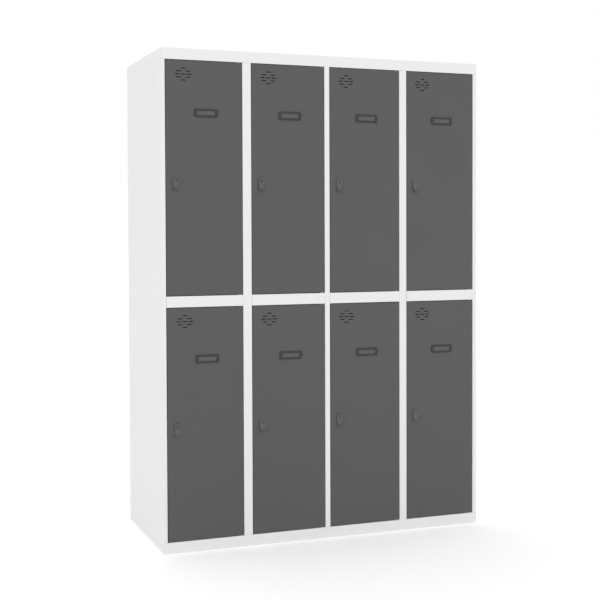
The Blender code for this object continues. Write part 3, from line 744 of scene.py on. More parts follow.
@dataclass
class Carcase:
    """The folded carcase: side walls, partitions, roof, floor, shelves and back."""

    layout: Layout
    sheet: float = 0.001
    seam: float = 0.0003
    lip: float = 0.014
    stop_strip: float = 0.010
    stop_depth: float = 0.020
    back_flange: float = 0.012
    side_flange: float = 0.015
    relief: float = 0.002
    notch: float = 0.0026
    stud_radius: float = 0.00397
    stud_height: float = 0.0017
    pin_radius: float = 0.0025
    pin_height: float = 0.009
    pin_bevel: float = 0.0005
    pin_hole: float = 0.0028
    weld_radius: float = 0.003
    weld_depth: float = 0.0003
    weld_pitch: float = 0.165
    weld_shares: tuple[float, ...] = (1, 0.8, 0.55, 0.3)
    weld_steps: int = 12
    round_steps: int = 24
    inside: float = field(init=False)
    rear: float = field(init=False)
    ceiling: float = field(init=False)
    stop: float = field(init=False)
    deep: float = field(init=False)
    strip_spans: list[Span] = field(init=False)
    frame_span: Span = field(init=False)

    def __post_init__(self) -> None:
        """Works out the planes and height ranges that several sheets keep to."""
        layout = self.layout
        self.inside, self.rear, self.ceiling = map(self.behind, (layout.right, layout.back, layout.height))
        self.stop = layout.front + self.stop_depth
        self.deep = self.stop + 2 * self.sheet
        self.strip_spans = [(bay.low[1] + self.seam, bay.high[1] - self.seam) for bay in layout.column(1)]
        self.frame_span = (self.strip_spans[0][0], self.strip_spans[1][1])

    def behind(self, plane: float) -> float:
        """A plane moved in by a sheet and a seam."""
        return plane - self.sheet - self.seam

    def edges(self, number: int) -> Span:
        """Both edges of the upright at the right of a column."""
        return self.layout.column(number)[0].high[0], self.layout.column(number + 1)[0].low[0]

    def build(self) -> None:
        """Adds every sheet of the carcase, and the studs that the doors stand on."""
        numbers = range(1, self.layout.columns + 1)
        sheets = [("left_wall_sheet", self.left_wall(), "left_side_panel")]
        sheets.append(("right_wall_sheet", self.right_wall(), "right_side_panel"))
        sheets += [(f"partition_sheet_{n}", self.partition(n), f"partition_{n}") for n in numbers[:-1]]
        sheets += [("roof_sheet", self.roof(), "top_panel"), ("floor_sheet", self.floor(), "base_panel")]
        sheets += [(f"shelf_sheet_{n}", self.shelf(n), f"shelf_{n}") for n in numbers]
        sheets.append(("back_sheet", self.back_sheet(), "back_panel"))
        for name, skin, node in sheets:
            add_piece(name, skin, GREY_POWDER_COAT, self.layout.carcase, [node], self.sheet)
        for bay in self.layout.bays:
            add_piece(f"pivot_stud_{bay.label}", self.pivot_stud(bay), GREY_POWDER_COAT, self.layout.carcase)

    def upright(
        self,
        corners: Sequence[Span],
        framed: Sequence[int],
        flanged: Sequence[int],
        strips: Sequence[int] = (),
        low: float = 0.0,
    ) -> Skin:
        """A sheet that stands up to the roof.

        Args:
            corners: The sheet's outline seen from above.
            framed: Its flats that end at the base rail and the top rail.
            flanged: Its flats that end at the base rail and the roof's back flange.
            strips: Its flats that exist only beside the doors.
            low: The sheet's lower edge.

        Returns:
            The sheet's skin.
        """
        bottom, flange_high = self.frame_span[0], self.layout.height - self.back_flange - self.seam
        spans = {flat: [self.frame_span] for flat in framed}
        spans |= {flat: [(bottom, flange_high)] for flat in flanged}
        spans |= {flat: self.strip_spans for flat in strips}
        marks = {*self.frame_span, flange_high, *(end for span in self.strip_spans for end in span)}
        along = Fold([(low, 0), (self.ceiling, 0)], marks=sorted(marks))
        return FoldedSheet(Fold(corners), along, Laid.UPRIGHT, across_spans=spans).skin()

    def lying(self, corners: Sequence[Span], narrow: Sequence[int], holes: Sequence[Array] = ()) -> Skin:
        """A sheet across the whole width.

        Args:
            corners: The sheet's outline seen from the side.
            narrow: Its flats that end inside the side walls.
            holes: Outlines of the holes in it.

        Returns:
            The sheet's skin.
        """
        inside = (-self.inside, self.inside)
        across = Fold([(self.layout.right, 0), (self.layout.left, 0)], marks=inside)
        spans = {flat: [inside] for flat in narrow}
        return FoldedSheet(across, Fold(corners), Laid.FLAT, along_spans=spans, holes=holes).skin()

    def left_wall(self) -> Skin:
        """The left wall, folded with its front face and the strip for the first column's doors.

        Returns:
            The wall's skin.
        """
        left, front, edge = self.layout.left, self.layout.front, self.layout.column(1)[0].low[0]
        corners = [(edge + self.stop_strip, self.stop), (edge, self.stop), (edge, front), (left, front)]
        corners += [(left, front + self.notch), (left, self.rear), (left + self.back_flange, self.rear)]
        return self.upright(corners, framed=(1, 2, 3), flanged=(5,), strips=(0,))

    def right_wall(self) -> Skin:
        """The right wall, folded with the front face that the last column's doors hang beside.

        Returns:
            The wall's skin.
        """
        right, front, rear, deep = self.layout.right, self.layout.front, self.rear, self.deep
        edge = self.layout.column(self.layout.columns)[0].high[0]
        corners = [(right - self.back_flange, rear), (right, rear), (right, front + self.notch)]
        corners += [(right, front), (edge, front), (edge, deep), ((edge + right) / 2, deep)]
        return self.upright(corners, framed=(2, 3, 4, 5), flanged=(0,))

    def partition(self, number: int) -> Skin:
        """A partition folded from one sheet: stop strip, front face, return and web.

        Args:
            number: The column at its left.

        Returns:
            The partition's skin.
        """
        left, right = self.edges(number)
        web = (left + right - self.sheet) / 2
        front, rear, stop, deep = self.layout.front, self.rear, self.stop, self.deep
        corners = [(right + self.stop_strip, stop), (right, stop), (right, front), (left, front)]
        corners += [(left, deep), (web, deep), (web, rear - self.notch), (web, rear)]
        corners.append((web + self.back_flange, rear))
        return self.upright(corners, (1, 2, 3, 4), (6, 7), (0,), self.frame_span[0])

    def roof(self) -> Skin:
        """The top rail and roof in one, with holes for the upper pins in the rail's lip.

        Returns:
            The roof's skin.
        """
        front, rear, high, bays = self.layout.front, self.rear, self.layout.height, self.layout.bays
        low = bays[-1].high[1]
        corners = [(front + self.lip, low), (front, low), (front, high), (rear, high)]
        holes = [self.pin_hole_ring(bay, low) for bay in bays if bay.tier == "upper"]
        return self.lying([*corners, (rear, high - self.back_flange)], (0, 3), holes)

    def pin_hole_ring(self, bay: Bay, z: float) -> Array:
        """The outline of a pivot pin's hole at a height."""
        return standing(circle(self.pin_hole, self.round_steps), z, (*bay.pivot, 0))

    def floor(self) -> Skin:
        """The plinth and floor in one, and the strips under its ends, beside the side walls.

        Returns:
            The skins of the floor and of both strips, as one.
        """
        front, rear, top = self.layout.front, self.rear, self.layout.bays[0].low[1]
        corners = [(front + self.lip, 0), (front, 0), (front, top), (front + self.notch, top)]
        skins = [self.lying([*corners, (rear, top), (rear, top - self.back_flange)], (0, 3, 4))]
        high = self.behind(top)
        near, far = front + self.lip + self.relief, rear - self.relief
        for start, end, x in ((far, near, self.inside), (near, far, -self.inside)):
            upright = Fold([(high - self.side_flange, 0), (high, 0)])
            skins.append(FoldedSheet(Fold([(start, x), (end, x)]), upright, Laid.ENDWAYS).skin())
        return Skin.joined(skins)

    def sides(self, number: int) -> Span:
        """Where the sheets that span a column end, a seam inside its walls.

        Args:
            number: The column.

        Returns:
            The left and the right end.
        """
        left, right = -self.inside, self.inside
        if number > 1:
            left = (sum(self.edges(number - 1)) + self.sheet) / 2 + self.seam
        if number < self.layout.columns:
            right = (sum(self.edges(number)) - self.sheet) / 2 - self.seam
        return left, right

    def shelf(self, number: int) -> Skin:
        """The shelf between the two tiers of a column, folded with its rail and four flanges.

        Args:
            number: The column.

        Returns:
            The shelf's skin.
        """
        lower, upper = self.layout.column(number)
        near = (lower.low[0] + self.seam, lower.high[0] - self.seam)
        left, right = self.sides(number)
        front, low, top = self.layout.front, lower.high[1], upper.low[1]
        shoulder, far, drop = self.deep + self.seam, self.behind(self.rear), -self.side_flange
        flanged = (shoulder + self.relief, far - self.relief)
        behind = (left + self.relief, right - self.relief)
        corners = [(front + self.lip, low), (front, low), (front, top), (shoulder, top), (far, top)]
        return FoldedSheet(
            Fold([(right, drop), (right, 0), (left, 0), (left, drop)], Outward.RIGHT, (*near, *behind)),
            Fold([*corners, (far, top - self.back_flange)], marks=flanged),
            Laid.FLAT,
            across_spans={0: [flanged], 2: [flanged]},
            along_spans={0: [near], 1: [near], 2: [near], 4: [behind]},
            holes=[self.pin_hole_ring(lower, low)],
        ).skin()

    def back_sheet(self) -> Skin:
        """The flat back sheet, with a shallow dimple at each spot weld.

        Returns:
            The sheet's skin, with a dimple in each round hole.
        """
        layout, flange = self.layout, self.back_flange
        lines = [layout.left + flange / 2, layout.right - flange / 2]
        lines += [(sum(self.edges(number)) + flange) / 2 for number in range(1, layout.columns)]
        count = round((layout.height - 2 * flange) / self.weld_pitch) + 1
        heights = np.linspace(2 * flange, layout.height - 2 * flange, count)
        middles = [(x, layout.back, z) for x in lines for z in heights]
        plain = circle(self.weld_radius, self.weld_steps)
        across = Fold([(layout.left, layout.back), (layout.right, layout.back)])
        rings = [facing_front(plain, 0, middle) for middle in middles]
        sheet = FoldedSheet(across, Fold([(0, 0), (layout.height, 0)]), Laid.UPRIGHT, holes=rings)
        return Skin.joined([sheet.skin(), *(self.weld(middle) for middle in middles)])

    def weld(self, middle: Place) -> Skin:
        """A spot weld's dimple: rings at shares of its radius, whose depth grows inwards as a cosine.

        Args:
            middle: The weld's middle on the back sheet's outer side.

        Returns:
            The dimple's skin, which fills a round hole.
        """
        plain, rings = circle(self.weld_radius, self.weld_steps), []
        for share in self.weld_shares[::-1]:
            depth = self.weld_depth * (1 + math.cos(math.pi * share)) / 2
            rings.append(facing_front(plain * share, -depth, middle))
        return loft(rings, ends=(True, False))

    def pivot_stud(self, bay: Bay) -> Skin:
        """The stud that a door stands on: a round shoulder and a pin with a chamfered tip.

        Args:
            bay: The door's bay.

        Returns:
            The stud's closed skin.
        """
        foot, pin, bevel = self.stud_radius, self.pin_radius, self.pin_bevel
        profile = [(foot, 0), (foot, self.stud_height - bevel), (foot - bevel, self.stud_height)]
        profile += [(pin, self.stud_height), (pin, self.pin_height - bevel), (pin - bevel, self.pin_height)]
        return lathed(profile, self.round_steps, (*bay.pivot, bay.low[1]))


# Doors and what is on them


@dataclass
class Door(BayPart):
    """A door: a tray of folded sheet with vents and holes, and a stiffener down its back.

    The vent rows give the slots' places across, from the top row down.
    """

    sheet: float = 0.001
    gap: float = 0.002
    depth: float = 0.018
    lip: float = 0.012
    face_rim: float = 0.004
    corner_radius: float = 0.0014
    corner_steps: int = 4
    vent_from_left: float = 0.067
    vent_from_top: float = 0.051
    vent_row_pitch: float = 0.0106
    slot_length: float = 0.018
    slot_height: float = 0.003
    slot_steps: int = 4
    vent_rows: tuple[tuple[float, ...], ...] = (
        (0.0,), (-0.017, 0.017), (-0.022, 0.0, 0.022), (-0.017, 0.017), (0.0,)
    )
    lock_hole: float = 0.0093
    label_from_left: float = 0.150
    label_from_top: float = 0.187
    peg_offset: float = 0.040125
    peg_hole: float = 0.0023
    peg_hole_steps: int = 16
    pin_hole: float = 0.0028
    stiffener_from_hinge: float = 0.065
    stiffener_foot: float = 0.011
    stiffener_slope: float = 0.003
    stiffener_crown: float = 0.024
    stiffener_height: float = 0.013
    stiffener_end_gap: float = 0.005
    stiffener_clearance: float = MERGE_DISTANCE * 10
    round_steps: int = 32

    @property
    def label_middle(self) -> Place:
        """The middle of the label holder on the door's face."""
        x, z = self.bay.low[0] + self.label_from_left, self.bay.high[1] - self.label_from_top
        return x, self.layout.front, z

    def build(self) -> None:
        """Adds the tray in place of the door's node, and the stiffener."""
        body = self.bay.body("door")
        self.add("door_tray", self.tray(), ANTHRACITE_POWDER_COAT, body, "door", self.sheet)
        self.add("door_stiffener", self.stiffener(), ANTHRACITE_POWDER_COAT, body, sheet=self.sheet)

    def tray(self) -> Skin:
        """The tray: the fold from lip to face, carried round the door's outline.

        Point (i, j) lies on a rectangle set in by the fold's inset i, at the fold's depth i, and
        j counts round the rectangle. The corners are round as far as the inset allows.

        Returns:
            The tray's outer side, with the holes in its face and for its pivots.
        """
        (left, bottom), (right, top) = self.bay.low, self.bay.high
        width, height = right - left - 2 * self.gap, top - bottom - 2 * self.gap
        middle = ((left + right) / 2, self.layout.front, (bottom + top) / 2)
        section = [(self.lip, self.depth), (0, self.depth), (0, 0), (self.face_rim, 0)]
        rings = []
        for inset, depth in Fold(section, Outward.RIGHT).traced()[0]:
            radius = max(self.corner_radius - inset, 0.0)
            outline = rounded_rectangle(width - 2 * inset, height - 2 * inset, radius, self.corner_steps)
            rings.append(facing_front(outline, depth, middle))
        hole, pivot = circle(self.pin_hole, self.round_steps), (*self.bay.pivot, 0)
        pins = [standing(hole, z, pivot) for z in (bottom + self.gap, top - self.gap)]
        face = punched(rings[-1][:: self.corner_steps + 1], self.face_holes())
        return Skin.joined([woven(np.stack(rings), rings=pins), face])

    def face_holes(self) -> list[Array]:
        """The outlines of the vent slots, the lock's hole and the label holder's peg holes.

        Returns:
            Outlines in the plane of the door's face, each with shape (points, 3).
        """
        slot = rounded_rectangle(self.slot_length, self.slot_height, self.slot_height / 2, self.slot_steps)
        peg, (x, front, z) = circle(self.peg_hole, self.peg_hole_steps), self.label_middle
        holes = [(slot, place) for place in self.vent_places()]
        holes.append((circle(self.lock_hole, self.round_steps), self.bay.lock))
        holes += [(peg, (x + offset, z)) for offset in (-self.peg_offset, self.peg_offset)]
        return [facing_front(outline, 0, (across, front, up)) for outline, (across, up) in holes]

    def vent_places(self) -> list[Span]:
        """Middles of the vent slots, whose rows stand evenly above and below the middle row.

        Returns:
            Places across and up, from the top row down.
        """
        left, middle = self.bay.low[0] + self.vent_from_left, self.bay.high[1] - self.vent_from_top
        return [
            (left + offset, middle + (len(self.vent_rows) // 2 - number) * self.vent_row_pitch)
            for number, row in enumerate(self.vent_rows)
            for offset in row
        ]

    def stiffener(self) -> Skin:
        """The hat section behind the face, its feet just clear of the face's inner side.

        Returns:
            The stiffener's outer side.
        """
        middle, crown = self.bay.high[0] - self.stiffener_from_hinge, self.stiffener_crown / 2
        root = crown + self.stiffener_slope
        low = self.layout.front + 2 * self.sheet + self.stiffener_clearance
        high = self.layout.front + self.sheet + self.stiffener_height
        half = [(crown, high), (root, low), (root + self.stiffener_foot, low)]
        path = [(middle - across, y) for across, y in half[::-1]]
        path += [(middle + across, y) for across, y in half]
        bottom = self.bay.low[1] + self.gap + self.stiffener_end_gap
        top = self.bay.high[1] - self.gap - self.stiffener_end_gap
        return FoldedSheet(Fold(path), Fold([(bottom, 0), (top, 0)]), Laid.UPRIGHT).skin()


@dataclass
class LabelHolder(BayPart):
    """A moulded frame round a plain card, pegged to the door.

    The outer and the window size are a width, a height and the radius of the corners. A step of the
    peg's profile is a share of its radius and of its reach.
    """

    door: Door
    outer: Place = (0.0885, 0.0305, 0.0065)
    window: Place = (0.066, 0.015, 0.0025)
    proud: float = 0.003
    edge_round: float = 0.0013
    window_bevel: float = 0.0020
    window_depth: float = 0.0012
    card_margin: float = 0.003
    card_sheet: float = 0.0004
    seam: float = 0.0003
    peg_radius: float = 0.002
    peg_reach: float = 0.005
    peg_profile: tuple[Span, ...] = ((1, 0.5), (1.12, 0.6), (1.12, 0.75), (0.6, 1))
    peg_steps: int = 24
    steps: int = 6

    def build(self) -> None:
        """Adds the frame in place of its node, and the card."""
        body = self.bay.body("door")
        holder = Skin.joined([self.frame_skin(), *self.pegs()])
        self.add("label_frame", holder, BLACK_ABS, body, "label_holder")
        self.add("name_card", self.card(), GREY_CARD, body)

    def ring(self, size: Place, grow: float, depth: float) -> Array:
        """A rounded rectangle about the holder's middle.

        Args:
            size: Its width, height and corner radius before it grows.
            grow: How far it grows on every side.
            depth: Its depth behind the door's face.

        Returns:
            Points with shape (points, 3).
        """
        width, height, radius = size[0] + 2 * grow, size[1] + 2 * grow, size[2] + grow
        outline = rounded_rectangle(width, height, radius, self.steps)
        return facing_front(outline, depth, self.door.label_middle)

    def frame_skin(self) -> Skin:
        """The frame: a section with a round outer edge and a bevelled window, carried round.

        Returns:
            The frame's closed skin.
        """
        front, edge, margin = -self.proud, self.edge_round, self.card_margin
        rounding = quarter_round((front + edge, 0), (front, edge), self.steps)
        section = [(self.window_bevel, front), (0, front + self.window_bevel / 2), (0, -self.window_depth)]
        section += [(margin, -self.window_depth), (margin, -self.seam)]
        rings = [self.ring(self.outer, 0, -self.seam)]
        rings += [self.ring(self.outer, -inset, depth) for depth, inset in rounding]
        rings += [self.ring(self.window, grow, depth) for grow, depth in section]
        return loft(rings, closed=True)

    def pegs(self) -> list[Skin]:
        """The two pegs through the door, with a swollen end that holds them.

        Returns:
            A closed skin for each peg, which starts inside the frame.
        """
        radius, reach, offset = self.peg_radius, self.peg_reach, self.door.peg_offset
        profile = [(radius, -self.proud / 2)]
        profile += [(radius * wide, reach * far) for wide, far in self.peg_profile]
        middles = [np.add(self.door.label_middle, (across, 0, 0)) for across in (-offset, offset)]
        return [lathed(profile, self.peg_steps, middle, facing_front) for middle in middles]

    def card(self) -> Skin:
        """The card behind the window, a little smaller than its room."""
        grow, front = self.card_margin - self.seam, -self.window_depth + self.seam / 2
        return loft([self.ring(self.window, grow, depth) for depth in (front, front + self.card_sheet)])


@dataclass(frozen=True)
class PanHead:
    """A low round screw head with a cross recess, whose shares are of its radius or height."""

    radius: float
    height: float
    steps: int = 32
    arm_share: float = 0.5
    arm_half_width_share: float = 0.14
    floor_shares: Span = (0.6, 0.45)
    mouth_share: float = 0.97
    fall_share: float = 0.75
    edge_share: float = 0.25
    dome_rings: int = 4

    def skin(self, front: bool) -> Skin:
        """The closed skin of the head, standing on the plane y = 0.

        The recess has two arms, so its radius at an angle is the larger of the two arms' reaches
        there. The head's height goes by the root of one less a share of the radius to the fourth,
        which is flat in the middle and falls to the edge.

        Args:
            front: Whether the head stands towards -Y.

        Returns:
            The head's skin.
        """
        direction, radius, height = circle(1.0, self.steps), self.radius, self.height
        beside, along = np.sort(np.abs(direction), axis=1).T
        arm, half_width = radius * self.arm_share, radius * self.arm_half_width_share
        reach = np.minimum(arm / along, half_width / np.maximum(beside, MERGE_DISTANCE))
        recess, (floor_size, floor_height) = direction * reach[:, None], self.floor_shares
        rings = [(recess * floor_size, height * floor_height), (recess, height * self.mouth_share)]
        for part in np.linspace(self.arm_share, 1, self.dome_rings):
            rings.append((direction * radius * part, height * math.sqrt(1 - self.fall_share * part**4)))
        rings += [(direction * radius, height * self.edge_share), (direction * radius, 0.0)]
        sign = -1 if front else 1
        return stacked((ring, sign * depth) for ring, depth in rings)


@dataclass
class Lock(BayPart):
    """A cam lock with a finger pull: cast body, nut, turning plug, cam and screw.

    Shares are of the width or radius of the part that they are named for.
    """

    proud: float = 0.004
    face_radius: float = 0.012
    pull_start: float = 0.009
    pull_drop: float = 0.025
    pull_reach: float = 0.010
    pull_thickness: float = 0.003
    pull_half_width: float = 0.009
    pull_corner: float = 0.004
    pull_hollow: float = 0.0012
    plate_column_share: float = 0.75
    plate_columns: int = 7
    plate_rows: int = 21
    edge_round: float = 0.0008
    edge_steps: int = 8
    seam: float = 0.0003
    barrel_radius: float = 0.009
    barrel_end: float = 0.023
    thread_pitch: float = 0.0015
    thread_depth: float = 0.0005
    thread_rings: int = 4
    nut_radius: float = 0.012
    nut_start: float = 0.0013
    nut_height: float = 0.006
    nut_bevel_shares: Span = (0.5, 1.0)
    nut_steps: int = 72
    plug_radius: float = 0.006
    plug_hole: float = 0.0063
    plug_recess: float = 0.0006
    plug_groove_shares: Place = (0.84, 0.85, 0.86)
    key_slot_height: float = 0.008
    key_slot_width: float = 0.0018
    key_slot_depth: float = 0.005
    key_slot_corner_share: float = 0.45
    key_slot_mouth_share: float = 1.02
    key_slot_steps: int = 7
    cam_depth: float = 0.024
    cam_thickness: float = 0.0025
    cam_reach: float = 0.033
    cam_radius: float = 0.008
    cam_tip_radius: float = 0.004
    screw_head: PanHead = PanHead(0.005, 0.003)
    steps: int = 64

    @property
    def middle(self) -> Place:
        """The lock's axis on the door's face."""
        return self.bay.lock[0], self.layout.front, self.bay.lock[1]

    @property
    def cam_end(self) -> float:
        """The depth of the cam's rear side."""
        return self.cam_depth + self.cam_thickness

    @property
    def rows(self) -> Array:
        """Places down the bend, on the body laid flat, where its surface has a row of points."""
        return -self.pull_start - self.pull_drop * np.arange(self.plate_rows) / self.plate_rows

    def build(self) -> None:
        """Adds the body in place of its node, the nut, and the turning pieces in place of theirs."""
        door, turning = self.bay.body("door"), self.bay.body("lock")
        # The body's casting colour is lightened to a grey as a painted highlight on the pull.
        self.add("lock_body", self.body(), CASTING_WITH_PAINTED_HIGHLIGHT, door, "lock_housing")
        self.add("lock_nut", self.nut(), BRIGHT_ZINC, door)
        self.add("lock_cylinder", self.plug(), DARK_NICKEL, turning, "lock_plug")
        self.add("lock_cam", self.cam(), BRIGHT_ZINC, turning)
        self.add("cam_screw", self.screw(), BRIGHT_ZINC, turning)

    def outline(self) -> Array:
        """The body laid flat: a half circle, sides that close in and the pull's round corners.

        Returns:
            Points with shape (points, 2), anticlockwise from the right end of the half circle.
        """
        ring, corner, half = circle(1.0, self.steps), self.pull_corner, self.pull_half_width
        low = -self.pull_start - self.pull_drop - self.pull_thickness / 2 + corner
        quarter = ring[self.steps * 3 // 4 :] * corner + (half - corner, low)
        heights = np.concatenate([[low], np.sort(self.rows[self.rows > low]), [-self.pull_start / 2]])
        widths = self.face_radius + (half - self.face_radius) * heights / low
        right = np.concatenate([quarter, np.stack([widths, heights], axis=1)])
        left = right[::-1] * (-1, 1)
        bottom = np.linspace(left[-1], right[0], self.edge_steps)[1:-1]
        return np.concatenate([ring[: self.steps // 2 + 1] * self.face_radius, left, bottom, right])

    def sides(self, flat: Array) -> tuple[Array, Array]:
        """Points of the front and of the back for places on the body laid flat.

        Past the start of the bend both follow quarter ellipses: they drop by the sine of the turn
        and reach out by one minus its cosine, and end straight in the nose. The finger's hollow in
        the front is a parabola across, and comes and goes down the bend by the square of a sine.

        Args:
            flat: Places with shape (places, 2).

        Returns:
            The front's and the back's points, each with shape (places, 3).
        """
        past = np.maximum(-flat[:, 1] - self.pull_start, 0)
        turn = np.minimum(past / self.pull_drop, 1) * math.pi / 2
        nose = np.maximum(past - self.pull_drop, 0)
        level = np.maximum(flat[:, 1], -self.pull_start)
        across = np.clip(1 - (flat[:, 0] / self.pull_half_width) ** 2, 0, 1)
        front = (self.proud, self.pull_drop - self.pull_thickness, self.pull_hollow)
        found = []
        for start, drop, hollow in (front, (self.seam, self.pull_drop, 0.0)):
            reach = self.proud + self.pull_reach - self.pull_thickness / 2 - start
            depth = hollow * across * np.sin(2 * turn) ** 2 - start - reach * (1 - np.cos(turn)) - nose
            found.append(np.stack([flat[:, 0], depth, level - drop * np.sin(turn)], axis=1))
        return found[0], found[1]

    def body(self) -> Skin:
        """The cast body: a front and a back plate, the round rim between them, the bore and the barrel.

        The rim's rings are quarter circles, set in by one minus the sine of an angle and deep by
        one minus its cosine. Their radius grows towards the nose, where the two meet in a half
        circle.

        Returns:
            The body's closed skin.
        """
        outline = self.outline()
        along = np.roll(outline, -1, axis=0) - np.roll(outline, 1, axis=0)
        inward = np.stack([-along[:, 1], along[:, 0]], axis=1) / np.linalg.norm(along, axis=1)[:, None]
        nearness = np.clip(-(outline[:, 1:] + self.pull_start) / self.pull_drop, 0, 1) ** 2
        nose, bore, plates, rim = self.pull_thickness / 2, self.plug_hole + self.seam, [], []
        for side, smallest, hole in ((0, self.edge_round, bore), (1, self.seam, self.barrel_radius)):
            radius = smallest + (nose - smallest) * nearness
            rings = []
            for angle in np.linspace(0, math.pi / 2, self.edge_steps):
                both = self.sides(outline + inward * radius * (1 - math.sin(angle)))
                here, there = both[side], both[1 - side]
                way = (there - here) / np.linalg.norm(there - here, axis=1)[:, None]
                rings.append(here + way * radius * (1 - math.cos(angle)))
            rim += rings if side == 0 else rings[::-1]
            plates.append(self.plate(outline + inward * radius, inward, hole, side))
        ring = circle(1.0, self.steps)
        barrel = [(ring * bore, -self.proud), (ring * self.plug_hole, self.seam - self.proud)]
        barrel += [(ring * self.plug_hole, self.barrel_end), *self.thread()[::-1]]
        barrel.append((ring * self.barrel_radius, -self.seam))
        open_ends = (False, False)
        skins = [*plates, loft(rim, ends=open_ends), stacked(barrel, ends=open_ends)]
        return Skin.joined(skins).moved(self.middle)

    def plate(self, boundary: Array, inward: Array, hole: float, side: int) -> Skin:
        """The front or the back of the body inside its rim.

        Args:
            boundary: Outline of the plate, on the body laid flat.
            inward: Direction away from the rim at each point of the boundary.
            hole: Radius of the hole about the axis.
            side: Zero for the front, one for the back.

        Returns:
            Triangles between the boundary, the hole and rows of points down the bend.
        """
        share = self.plate_column_share
        columns = np.linspace(-share, share, self.plate_columns) * self.pull_half_width
        grid = np.stack(np.meshgrid(columns, self.rows), axis=-1).reshape(-1, 2)
        held = [boundary + inward * self.seam, circle(hole + self.seam, self.steps), grid]
        ring = facing_front(circle(hole, self.steps), 0)
        skin = punched(facing_front(boundary, 0), [ring], [facing_front(points, 0) for points in held])
        return Skin(self.sides(skin.points[:, [0, 2]])[side], skin.faces)

    def thread(self) -> list[tuple[Array, float]]:
        """Outlines of the barrel's thread, with their depths.

        The radius falls and rises as a triangle wave of the depth over the pitch plus the share
        of a turn, which makes one start of a right-hand helix.

        Returns:
            Outlines with shape (steps, 2), each with its depth, from the nut's start to the barrel's end.
        """
        direction = circle(1.0, self.steps)
        turn = np.arctan2(direction[:, 1], direction[:, 0]) / (2 * math.pi)
        crest, sunk, pitch, end = self.barrel_radius, self.thread_depth, self.thread_pitch, self.barrel_end
        rings = [(direction * crest, self.nut_start)]
        for y in np.arange(self.nut_start + pitch, end - pitch, pitch / self.thread_rings):
            wave = np.abs(2 * ((y / pitch + turn) % 1) - 1)
            rings.append((direction * (crest - sunk * wave)[:, None], y))
        return [*rings, (direction * (crest - sunk), end - self.seam), (direction * (crest - 2 * sunk), end)]

    def nut(self) -> Skin:
        """The hexagon nut: flats by the secant of the angle within each sixth, cut by a cone.

        Returns:
            The nut's closed skin, with its bore.
        """
        turn, direction, sixth = turns(self.nut_steps), circle(1.0, self.nut_steps), math.pi / 3
        inner = math.cos(sixth / 2)
        flats = self.nut_radius * inner / np.cos((turn + sixth / 2) % sixth - sixth / 2)
        start, bore = self.nut_start, self.barrel_radius + self.seam / 2
        rings = [(direction * bore, start), (direction * self.nut_radius * inner, start)]
        for share in self.nut_bevel_shares:
            limit = self.nut_radius * (inner * (1 - share) + share)
            ring = direction * np.minimum(flats, limit)[:, None]
            rings.append((ring, start + share * self.edge_round))
        both = start + (start + self.nut_height)
        rings += [(ring, both - depth) for ring, depth in rings[::-1]]
        return stacked(rings, closed=True).moved(self.middle)

    def plug(self) -> Skin:
        """The plug: rings from the floor of the key slot out to its chamfered edge and back.

        Returns:
            The plug's closed skin.
        """
        front, bevel, radius = self.plug_recess - self.proud, self.seam, self.plug_radius
        width, height = self.key_slot_width, self.key_slot_height
        slot = rounded_rectangle(width, height, width * self.key_slot_corner_share, self.key_slot_steps)
        ring = circle(1.0, len(slot), 0.5)
        rings = [(slot, front + self.key_slot_depth), (slot * self.key_slot_mouth_share, front)]
        groove = zip(self.plug_groove_shares, (front, front + bevel / 2, front))
        rings += [(ring * radius * share, depth) for share, depth in groove]
        rings += [(ring * (radius - bevel), front), (ring * radius, front + bevel)]
        rings.append((ring * radius, self.cam_depth + self.cam_thickness / 2))
        return stacked(rings).moved(self.middle)

    def cam(self) -> Skin:
        """The cam: a plate with slightly broken edges, wide round its bore and narrow at its low tip.

        Returns:
            The cam's closed skin, with its bore.
        """
        over = rays(np.linspace(0, math.pi, self.steps // 2))
        tip = self.cam_tip_radius * -over + (0, self.cam_tip_radius - self.cam_reach)
        outline = np.concatenate([self.cam_radius * over, tip])
        direction = outline / np.linalg.norm(outline, axis=1, keepdims=True)
        bevel, start, end = self.seam, self.cam_depth, self.cam_end
        inner, small = direction * (self.plug_radius - bevel), outline - direction * bevel
        rings = [(inner, start), (small, start), (outline, start + bevel), (outline, end - bevel)]
        return stacked([*rings, (small, end), (inner, end)], closed=True).moved(self.middle)

    def screw(self) -> Skin:
        """The cam's screw: a low round head with a cross recess."""
        return self.screw_head.skin(front=False).moved(np.add(self.middle, (0, self.cam_end, 0)))


# Small steel and rubber fittings


